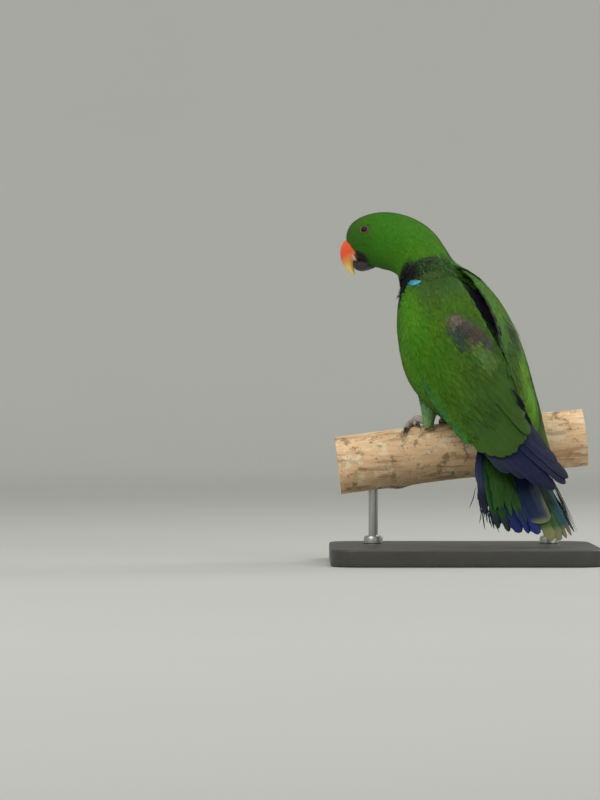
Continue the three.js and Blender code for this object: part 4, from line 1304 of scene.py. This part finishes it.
# Tail, from the bird's right to its left: root and tip on its surface (down it and across), bow, width, layer
# under the middle one, colour, colour of the tip and where that starts, and wear.
TAIL_FEATHERS = [
    ((20, -20), (104, -63), -0.1, 11, 5, rgb(34, 50, 60), rgb(60, 70, 64), 0.80, 0.85),
    ((21, -17), (109, -52), 0.0, 15, 4, rgb(24, 78, 92), rgb(116, 108, 90), 0.90, 0.65),
    ((22, -13), (113, -39), 0.0, 17, 3, rgb(30, 76, 66), rgb(116, 114, 84), 0.90, 0.55),
    ((23, -9), (116, -26), 0.0, 18, 2, rgb(44, 84, 32), rgb(118, 122, 82), 0.88, 0.40),
    ((24, -5), (117, -13), 0.0, 18, 1, rgb(46, 84, 32), rgb(124, 126, 86), 0.86, 0.35),
    ((24, 1), (100, -7), 0.0, 29, -1, rgb(25, 41, 74), rgb(112, 122, 84), 0.95, 0.12),
    ((24, 3), (110, 3), 0.0, 18, 0, rgb(20, 38, 52), rgb(30, 42, 104), 0.64, 0.45),
    ((23, 7), (108, 13), 0.0, 18, 1, rgb(20, 42, 44), rgb(32, 46, 100), 0.68, 0.50),
    ((22, 11), (106, 23), -0.1, 18, 2, rgb(20, 42, 36), rgb(26, 38, 86), 0.66, 0.45),
    ((18, 15), (103, 33), -0.15, 18, 3, rgb(30, 64, 33), rgb(30, 46, 48), 0.86, 0.60),
    ((13, 19), (98, 42), -0.2, 16, 4, rgb(36, 72, 34), rgb(30, 42, 50), 0.84, 0.80),
    ((8, 24), (82, 49), -0.25, 14, 5, rgb(48, 57, 84), rgb(28, 30, 50), 0.70, 0.95),
]
# Frayed barbs: their place down the tail and across it, turn, number and colour
TAIL_FRAYS = [
    (62, 46, 0.20, 12, rgb(38, 44, 62)),
    (68, 42, 0.16, 12, rgb(34, 44, 48)),
    (76, -47, -0.45, 14, rgb(30, 40, 46)),
]
# Coverts over the tail and under it: height, how far each row drops, half width, colours of the right and the
# left, and how far to the right the second one starts
TAIL_BANKS = [
    (0.9, 0.25, 25, rgb(24, 48, 33), rgb(43, 80, 32), 10),
    (-8.4, -0.3, 20, rgb(86, 128, 44), rgb(70, 110, 40), 0),
]


def tail_shade(colour, tip, start, margin, outer):
    """A tail feather: a lighter outer edge, dark inner web, its tip's colour, and a margin of it if asked."""

    def shade(t, x, base):
        c = base + (TAIL_WEB - base) * fade(-x * outer, 0.5, 1.0) * 0.45
        c = c + (colour * 1.4 - c) * fade(x * outer, 0.6, 1.0) * 0.35
        side = margin * fade(t, 0.6, 0.8) * fade(-x, 0.35, 1.0)
        c = c + (tip - c) * np.maximum(fade(t, start - 0.05, start + 0.04), side)
        return c * (1 - 0.2 * on_shaft(x)) * (0.82 + 0.2 * t)

    return shade


def tail():
    """The fan of long tail feathers, each with its own colour and wear; the top one is pale-edged."""
    coat = Coat("coat_tail", tail_point, FLIGHT, "feathers_tail")
    for i, (root, tip_at, bow, width, layer, colour, tip, start, wear) in enumerate(TAIL_FEATHERS):
        root, run = np.array(root, float), np.subtract(tip_at, root)
        outer, top = (1 if i > 5 else -1), layer < 0
        coat.lay(
            root[:1], root[1:], "round" if wear < 0.5 else "oval", colour[None],
            turn=math.atan2(run[1], run[0]), bow=bow, length=float(np.hypot(*run)), width=width,
            low=-0.8 * layer, high=-0.55 * layer + 0.9 * top, tilt=outer * math.tan(math.radians(4)),
            camber=0.25, thick=0.22, fray=wear, shade=tail_shade(colour, tip, start, top, outer),
        )
    return coat


def tail_frays():
    """Bare split barbs that stand off the worn outer tail feathers."""
    coat = Coat("coat_tail_frays", tail_point, FLIGHT, "feathers_tail")
    for down, across, turn, n, colour in TAIL_FRAYS:
        coat.lay(
            down + rng.uniform(-8, 12, n), across + rng.uniform(-3, 3, n), "tuft", varied(colour, 0.2, n),
            turn=turn + scattered(n, 0.13), length=rng.uniform(14, 25, n), width=rng.uniform(0.9, 1.9, n),
            low=-3.2, high=-2.6 + scattered(n, 0.8), bow=scattered(n, 0.25),
        )
    n = 13
    return coat.lay(
        rng.uniform(46, 66, n), rng.uniform(-54, -46, n), "tuft", varied(NAVY_DARK, 0.3, n),
        turn=rng.normal(-0.2, 0.07, n), length=rng.uniform(26, 46, n), width=rng.uniform(1.0, 2.0, n),
        low=-1.6, high=rng.uniform(-1.6, 0.6, n), bow=rng.normal(-0.2, 0.15, n),
    )


def tail_coverts():
    """Long soft feathers over the tail's root, and paler ones under it."""
    coat = Coat("coat_tail_coverts", tail_point, FEATHERS, "feathers_tail")
    for height, drop, across, colour, other, shift in TAIL_BANKS:
        for rank in range(11):
            n = 19 + rank % 2
            k = np.linspace(-1, 1, n) + scattered(n, 0.04)
            tint = mixed(colour, other, fade(k * across + shift, 6, 24))
            coat.lay(
                1.0 + 4.2 * rank + scattered(n, 1.6), k * across * (0.75 + 0.02 * rank) + 2, "covert",
                varied(tint, 0.08), turn=0.3 * k + scattered(n, 0.03), width=4.6,
                length=(30 + 2.2 * rank) * (1 - 0.2 * k**2) * rng.uniform(0.75, 1.15, n),
                low=height - 1.2, high=height + 0.3 - drop * rank * 0.36, fray=0.12, curl=0.9,
            )
    return coat


# Legs
def thigh_surface(side):
    """The feathered shank as a surface: millimetres down it from the belly, angle round it, and height."""
    knee, heel = (np.array(FEET[side][key], float) for key in ("knee", "heel"))
    axis = unit(heel - knee)
    across = unit(np.cross(axis, [0, 1, 0]))
    other = np.cross(axis, across)
    length = np.linalg.norm(heel - knee)
    radii = [[0, 15], [0.2, 14], [0.5, 10.5], [0.78, 7.2], [1.02, 5.0]]

    def surface(u, v, out):
        u, v, out = np.broadcast_arrays(np.asarray(u, float), v, out)
        r = (station(radii, u / length)[..., 0] + out)[..., None]
        return knee + axis * u[..., None] + r * (across * np.cos(v)[..., None] + other * np.sin(v)[..., None])

    return surface, length


def thigh_coat(side):
    """Soft feathers round the shank, paler towards the foot, with a few worn ones."""
    surface, length = thigh_surface(side)
    pitch, gap = ramp((0, 3.6), (45, 2.2)), ramp((0, 3.4), (45, 2.0))
    u, v = row_places(surface, 2, length - 1, pitch, -math.pi, math.pi, gap)
    n = len(u)
    tint = varied(mixed(BELLY_GREEN, SHANK_GREEN, fade(u, 6, 26)), 0.12)
    tint = mixed(tint, SHANK_PALE, (rng.random(n) < 0.2) * 0.6 * fade(u, 15, 30))
    coat = Coat(f"coat_thigh_{side}", surface, FEATHERS, "feathers_leg")
    return coat.lay(
        u, v, "contour", tint, turn=scattered(n, 0.12), length=ramp((0, 12), (45, 7))(u), low=-1.2,
        width=ramp((0, 6), (45, 3))(u), high=0.3 + abs(scattered(n, 0.3)), fray=0.25,
        atlas=(u / 50, np.mod(v / 6.3 + 0.5, 1)),
    )


def toe_radii(toe, t):
    """A toe's radius along it: swollen at its joints, with fine scutes across its top."""
    joints = 1 + 0.10 * np.cos(6 * math.pi * t)
    return toe["thick"] * (1 - 0.22 * t) * joints * (1 + 0.035 * np.sin(2 * math.pi * 13 * t))


def toe_path(side, toe, start, end, out):
    """Points along a toe on the perch; out is how far each lies off the wood."""
    place = FEET[side]
    d = start + (end - start) * np.linspace(0, 1, len(out))
    x = place["x"] + place["mirror"] * toe["splay"] * d
    return perch_point(x, FOOT_TURN + toe["way"] * d / PERCH["radius"], perch_radius(x) + out)


def toe_rings(side, toe):
    """A toe, lying on the wood."""
    radii = toe_radii(toe, np.linspace(0, 1, LIMB_STEPS))
    return tube_rings(toe_path(side, toe, 0, toe["length"], radii * 0.9 + GAP), radii)


def claw_rings(side, toe):
    """A toe's claw, arched off the wood and down to its point."""
    t = np.linspace(0, 1, 24)
    out = CLAW_RADIUS * (1 + 1.1 * np.sin(math.pi * t * 0.8)) * 0.9 + 0.5
    path = toe_path(side, toe, toe["length"] - 1.0, toe["length"] + CLAW_LENGTH, out)
    return tube_rings(path, CLAW_RADIUS * (1 - 0.93 * t**1.25))


def shank_rings(place):
    """The bare shank, from the ball of the foot to a little above the heel."""
    root = perch_point(place["x"], FOOT_TURN, PERCH["radius"] + 3.6)
    middle = perch_point(place["x"] + 5, math.radians(-2), PERCH["radius"] + 6)
    heel = np.array(place["heel"], float)
    path = along_curve([root, middle, heel, heel + (heel - middle) * 0.12], LIMB_STEPS)
    t = np.linspace(0, 1, LIMB_STEPS)
    return tube_rings(path, (4.3 - 0.7 * np.sin(math.pi * t)) * (1 + 0.03 * np.sin(70 * t)))


def ball_rings(place):
    """The ball of the foot, where its toes meet its shank."""
    palm = perch_point(place["x"], FOOT_TURN, perch_radius(place["x"]) + 3.4)
    turns = np.linspace(0.02, math.pi - 0.02, LIMB_STEPS)
    return tube_rings(np.array([palm + [0, 0, 5.0 * math.cos(a)] for a in turns]), 5.2 * np.sin(turns))


def feet():
    """Scaly toes and shanks, and the claws."""
    skin, horn = foot_look(), claw_look()
    for side, place in FEET.items():
        toes = [toe_rings(side, toe) for toe in TOES.values()]
        rings = np.array([*toes, shank_rings(place), ball_rings(place)])
        tint = TOE_SKIN * rng.uniform(0.85, 1.1, (*rings.shape[:2], 1, 1))
        finished(tubes(f"foot_{side}_skin", rings, skin, tint), "foot_skin", f"foot_{side}")
        claws = np.array([claw_rings(side, toe) for toe in TOES.values()])
        piece = tubes(f"claws_{side}", claws, horn, CLAW_BLACK)
        finished(piece, "claw", *[f"claw_{side}_{name}" for name in TOES])


# Bill and eyes
def bill_rings(sections, count, ring=48):
    """A mandible's rings, smoothed through its sections, in the head's frame and in the model's."""
    table = np.column_stack([np.arange(len(sections)), sections])
    forward, up, tall, wide, turn = station(table, np.linspace(0, len(sections) - 1, count)).T
    angle = around(ring)
    v = tall[:, None] * np.cos(angle)
    w = wide[:, None] * np.sin(angle) * (1 - 0.18 * np.cos(angle))
    turn = np.radians(turn)[:, None]
    local = np.stack([forward[:, None] + v * np.cos(turn), w, up[:, None] + v * np.sin(turn)], -1)
    return local, head_point(local[..., 0], local[..., 1], local[..., 2])


def upper_bill():
    """Upper mandible: coral at its base, paling to a yellow tip, with a pale cutting edge and painted shade
    at its lower back, by the gape.
    """
    local, rings = bill_rings(UPPER_BILL, 56)
    forward, up = local[..., 0], local[..., 2]
    depth = -up - 0.35 * forward
    tint = painted(
        BILL_CORAL,
        (BILL_PEACH, fade(depth, 3, 11)),
        (BILL_YELLOW, fade(depth, 9, 17)),
        (BILL_EDGE, spot(forward, up, (0.9, -14), (1.0, 5.0), 0.3) * 0.9),
        # Painted shade at the lower back of the bill, where the gape is
        (BILL_GAPE_SHADE, fade(-forward, -0.2, 1.6) * fade(-up, 5.5, 9)),
    )
    piece = tubes("bill_upper_horn", rings[None], bill_look("bill_upper", 0.28, 0.18), tint)
    return finished(piece, "bill_upper", "bill_upper")


def lower_bill():
    """Lower mandible: dark horn, darker at its front."""
    local, rings = bill_rings(LOWER_BILL, 40)
    tint = mixed(BILL_SLATE, BILL_DARK, fade(local[..., 0], -8, 2))
    piece = tubes("bill_lower_horn", rings[None], bill_look("bill_lower", 0.5, 0.3), tint)
    return finished(piece, "bill_lower", "bill_lower")


# Rings of lid skin: radius, thickness, and height over the middle of the eye
LIDS = [(3.6, 0.36, 2.5), (4.15, 0.42, 1.95)]


def eyes():
    """Eyeballs with pupil and iris, and two rings of bare lid skin round each."""
    ball_look, lid_look = eye_look(), foot_look()
    polar = np.linspace(0.001, math.pi - 0.001, 48)[:, None]
    tint = painted(PUPIL, (IRIS, fade(polar, 0.66, 0.72)), (EYE_RIM, fade(polar, 0.84, 0.92)))
    turns, loop = around(48)[:, None], np.linspace(0, 2 * math.pi, 65)[:, None]
    for side, sign in (("left", 1), ("right", -1)):
        centre = body_point(EYE["place"], sign * EYE["angle"], -EYE["sunk"])
        outward = unit(body_point(EYE["place"], sign * EYE["angle"], 10.0) - centre)
        across = unit(np.cross([0, 0, 1], outward))
        up = np.cross(outward, across)
        spread = np.cos(turns) * across + np.sin(turns) * up
        rings = np.cos(polar)[..., None] * outward + np.sin(polar)[..., None] * spread
        ball = tubes(f"eyeball_{side}", (centre + EYE["radius"] * rings)[None], ball_look, tint)
        finished(ball, "eye", f"eye_{side}")
        lids = []
        for major, minor, height in LIDS:
            oval = np.cos(loop) * across + 0.92 * np.sin(loop) * up
            beads = minor * (1 + 0.06 * np.sin(loop[:, 0] * 26))
            lids.append(tube_rings(centre + outward * height + major * oval, beads, 12, outward))
        tubes(f"eyelid_{side}", np.array(lids), lid_look, LID)


# Skin
CORE_PLACES = [2, 5, 9, 16, 28, 44, 66, 88, 108, 124, 142, 162]


def wing_core(side):
    """Rings round the flesh of a wing, from its bend to where it thins out under the feathers."""
    rings = []
    for i, a in enumerate(CORE_PLACES):
        half = station(WING, a)[4] * (0.5 if i == 0 else 1 - 0.28 * fade(a, 110, 160))
        x = np.linspace(-1, 1, 12)
        top = station(CORE_TOP, a)[0] - 1.6 * x**4 + 1.2 * fade(a, 12, 30)
        bottom = top - station(CORE_THICK, a)[0] * (1 - 0.6 * x**2)
        b = np.r_[x, x[-2:0:-1]] * half
        rings.append(wing_point(side, a, b, np.r_[top, bottom[-2:0:-1]]))
    return np.array(rings)


# Flesh at the tail's root: place down it, half width, and its top's and bottom's distance from the sheet
STUMP = [
    (0, 18, 4.5, 13),
    (14, 18.5, 4, 12),
    (28, 19, 2.4, 9.5),
    (42, 20, 0.8, 7.2),
    (55, 19.5, -0.6, 4.6),
]


def stump():
    """Rings round the tail's root."""
    turns = around(24)
    rings = []
    for a, half, top, bottom in STUMP:
        wide = half * np.sign(np.cos(turns)) * abs(np.cos(turns)) ** 0.7
        height = (top - bottom) / 2 + (top + bottom) / 2 * np.sin(turns) - 0.4
        rings.append(tail_point(a + 0 * turns, wide, height))
    return np.array(rings)


def skin_forms():
    """The closed forms that the skin is fused from: body, wings, tail root and thighs."""
    s = np.r_[0.5, np.linspace(2, BODY_END - 2, 110), BODY_END - 0.5]
    turns = around(72)
    forms = [body_point(s[:, None], turns[None, :], -skin_depth(s)[:, None] - 0.1)]
    forms += [wing_core(side) for side in WING_SIDES]
    forms.append(stump())
    for side in FEET:
        surface, length = thigh_surface(side)
        forms.append(surface(np.linspace(0, length, 24)[:, None], turns[None, ::3], -1.3))
    return forms


def select(*pieces):
    """Selects pieces alone, with the first one active, for the operators to work on."""
    bpy.ops.object.select_all(action="DESELECT")
    for piece in pieces:
        piece.select_set(True)
    bpy.context.view_layer.objects.active = pieces[0]


def skin(coats):
    """One skin under all the feathers, each part of it in the colour of the nearest root."""
    parts = [tubes(f"skin_form_{i}", form[None], None) for i, form in enumerate(skin_forms())]
    for part in parts:
        part.parent = None
    select(*parts)
    bpy.ops.object.join()
    made = parts[0]
    made.name = "skin"
    remesh = made.modifiers.new("fuse", "REMESH")
    remesh.mode, remesh.voxel_size, remesh.use_smooth_shade = "VOXEL", 0.0016, True
    relax = made.modifiers.new("relax", "SMOOTH")
    relax.factor, relax.iterations = 0.5, 4
    for modifier in ("fuse", "relax"):
        bpy.ops.object.modifier_apply(modifier=modifier)
    groups = [group for coat in coats for group in coat.groups]
    roots = np.concatenate([g.roots for g in groups])
    tints = np.concatenate([np.broadcast_to(g.tint, (len(g.roots), 3)) for g in groups])
    tree = KDTree(len(roots))
    for i, p in enumerate(roots * MM):
        tree.insert(p, i)
    tree.balance()
    put_tint(made.data, np.array([tints[tree.find(v.co)[1]] for v in made.data.vertices]))
    made.data.materials.clear()
    made.data.materials.append(skin_look())
    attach(made, "root")
    return finished(made, "feathers_green", "head", "neck", "torso", "thigh_left", "thigh_right")


# Perch and stand
# Swellings of the branch: waves round it, waves along it for each millimetre, and height
SWELLINGS = [(3, 0.020, 0.35), (5, 0.045, 0.25), (8, 0.09, 0.15), (13, 0.16, 0.08)]
SAWN_RINGS = (0.02, 0.2, 0.4, 0.6, 0.8, 0.96)


def perch():
    """Peeled branch: a long tube with swellings, a knob and a dent, sawn at both ends."""
    x = np.linspace(-PERCH["length"] / 2, PERCH["length"] / 2, 300)
    xs, angles = np.meshgrid(x, around(160), indexing="ij")
    relief = np.zeros_like(xs)
    for round_it, along, size in SWELLINGS:
        phase = rng.uniform(0, 2 * math.pi, 2)
        relief += size * np.sin(round_it * angles + phase[0]) * np.sin(along * xs + phase[1])
    knob = np.exp(-(((xs + 62) / 9) ** 2) - ((np.mod(angles, 2 * math.pi) - math.pi) / 0.22) ** 2)
    scar = np.exp(-(((xs - 55) / 7) ** 2) - ((np.mod(angles + 1.2, 2 * math.pi) - 0.4) / 0.2) ** 2)
    rings = perch_point(xs, angles, perch_radius(xs) - 0.35 + relief * 0.5 + 2.2 * knob - 1.1 * scar)
    ends = []
    for end in (0, -1):
        middle = perch_point(x[end], 0.0, 0.0)
        ends.append(np.array([middle + (rings[end] - middle) * k for k in SAWN_RINGS]))
    rings = np.concatenate([ends[0], rings, ends[1][::-1]])
    sawn = len(SAWN_RINGS)
    tint = np.broadcast_to(WOOD_CUT, rings.shape).copy()
    tint[sawn:-sawn] = WOOD * (1 - 0.5 * np.clip(knob + scar, 0, 1)[..., None])
    finished(tubes("perch_wood", rings[None], wood_look(), tint), "perch_wood", "perch")


def base_board():
    """Flat painted board with rounded corners and edges."""
    half = np.array([BASE["width"], BASE["depth"]]) / 2
    corner, bevel, height = BASE["corner"], BASE["bevel"], BASE["height"]
    outline = []
    for i, sides in enumerate([(1, 1), (-1, 1), (-1, -1), (1, -1)]):
        turn = np.linspace(0, math.pi / 2, 16) + i * math.pi / 2
        middle = np.array(sides) * (half - corner)
        outline.append(middle + corner * np.column_stack([np.cos(turn), np.sin(turn)]))
    outline = np.concatenate(outline)
    quarter = np.linspace(0, math.pi / 2, 6)
    steps = [(bevel + 20, 0), (bevel + 0.5, 0)]
    steps += list(zip(bevel * (1 - np.sin(quarter)), bevel * (1 - np.cos(quarter))))
    steps += [(cut, height - z) for cut, z in reversed(steps)]
    rings = [np.column_stack([outline * (half - cut) / half, np.full(len(outline), z)]) for cut, z in steps]
    piece = tubes("stand_base_board", np.array(rings)[None], base_look(), BASE_PAINT)
    finished(piece, "stand_base", "stand_base")


def rods():
    """Two turned steel rods with collars, each from the base up into the perch."""
    steel = steel_look()
    collar, radius, tall = ROD["collar"], ROD["radius"], ROD["collar_height"]
    turns = around(64)
    circle = np.column_stack([np.cos(turns), np.sin(turns), 0 * turns])
    for side in ("left", "right"):
        low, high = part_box(f"stand_rod_{side}")
        foot = np.array([(low[0] + high[0]) / 2, (low[1] + high[1]) / 2, 0]) / MM
        bottom = low[2] / MM
        length = high[2] / MM + 1.0 - bottom
        profile = [
            (0.1, 0), (collar - 0.3, 0), (collar, 0.3), (collar, tall - 2), (collar - 0.6, tall - 0.7),
            (collar - 2, tall), (radius + 0.4, tall), (radius, tall + 0.5), (radius, length - 0.3),
            (0.1, length),
        ]
        rings = np.array([foot + circle * r + [0, 0, bottom + z] for r, z in profile])
        piece = tubes(f"stand_rod_{side}_steel", rings[None], steel, ROD_STEEL)
        select(piece)
        bpy.ops.object.shade_smooth_by_angle(angle=math.radians(35))
        finished(piece, "stand_rod", f"stand_rod_{side}")


# Stage
PHOTO = {"width": 600, "height": 800}
CAMERA = {"distance": 3500, "scale": 0.95, "x": -152.95, "z": 152.15, "sensor": 36}
FLOOR_SIDES = 96
# Name, place, size and power of each light, and the height that all of them are turned to
LIGHTS = [
    ("key", (-1300, -1700, 2100), 1500, 33),
    ("fill", (1700, -1500, 1100), 1600, 11),
    ("top", (200, 200, 2600), 1600, 18),
    ("rim", (1500, 1100, 1300), 900, 11),
]
LIT_HEIGHT = 160
SKY, SKY_STRENGTH = (0.86, 0.9, 0.93, 1), 0.4


def camera():
    """The camera at the photograph's view, level and far off."""
    data = bpy.data.cameras.new("camera")
    data.sensor_width = CAMERA["sensor"]
    data.lens = CAMERA["distance"] / (CAMERA["scale"] * PHOTO["height"]) * data.sensor_width
    data.clip_end = 40
    made = bpy.data.objects.new("camera", data)
    made.location = (CAMERA["x"] * MM, (PERCH["y"] - CAMERA["distance"]) * MM, CAMERA["z"] * MM)
    made.rotation_euler = (math.radians(90), 0, 0)
    bpy.context.scene.collection.objects.link(made)
    bpy.context.scene.camera = made


def floor():
    """Pale round floor that curves up into a wall."""
    profile = [(1, 0), (500, 0), (1200, 0), (2400, 0), (3600, 0)]
    for a in np.linspace(0, math.pi / 2, 12):
        profile.append((4400 + 1500 * math.sin(a), 1500 - 1500 * math.cos(a)))
    profile.append((5900, 6500))
    turns = around(FLOOR_SIDES)
    points = np.array([[r * math.cos(t), r * math.sin(t), z - 0.05] for r, z in profile for t in turns])
    i, j = np.meshgrid(np.arange(len(profile) - 1), np.arange(FLOOR_SIDES), indexing="ij")
    here, after = i * FLOOR_SIDES, (i + 1) * FLOOR_SIDES
    k = (j + 1) % FLOOR_SIDES
    quads = np.stack([here + j, here + k, after + k, after + j], -1).reshape(-1, 4)
    tint = np.broadcast_to(FLOOR_GREY, points.shape)
    piece = mesh_object("floor", points, quads, np.zeros((0, 3), int), floor_look(), tint)
    piece.parent = None


def lights():
    """Soft studio lamps, and a pale sky."""
    for name, place, size, power in LIGHTS:
        light = bpy.data.lights.new(name, "AREA")
        light.size, light.energy = size * MM, power
        lamp = bpy.data.objects.new(name, light)
        lamp.location = [p * MM for p in place]
        aim = Vector((0, 0, LIT_HEIGHT * MM)) - lamp.location
        lamp.rotation_euler = aim.to_track_quat("-Z", "Y").to_euler()
        bpy.context.scene.collection.objects.link(lamp)
    world = bpy.data.worlds.new("world")
    world.use_nodes = True
    sky = world.node_tree.nodes["Background"].inputs
    sky["Color"].default_value, sky["Strength"].default_value = SKY, SKY_STRENGTH
    bpy.context.scene.world = world
    bpy.context.scene.view_settings.view_transform = "Standard"


# The model
upper = upper_bill()
lower_bill()
eyes()
feet()
coats = [*body_coats(upper), wisps(), ruff(), mantle()]
for wing_side in WING_SIDES:
    coats += [flight_feathers(wing_side), wing_cover(wing_side), wing_edge(wing_side)]
coats += [tail(), tail_frays(), tail_coverts(), *[thigh_coat(leg_side) for leg_side in FEET]]
pieces = {coat.name: coat.build() for coat in coats}
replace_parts(pieces["coat_tail"], "tail")
for wing_side in WING_SIDES:
    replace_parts(pieces[f"coat_flight_{wing_side}"], f"wing_{wing_side}")
skin(coats)
perch()
base_board()
rods()
camera()
floor()
lights()
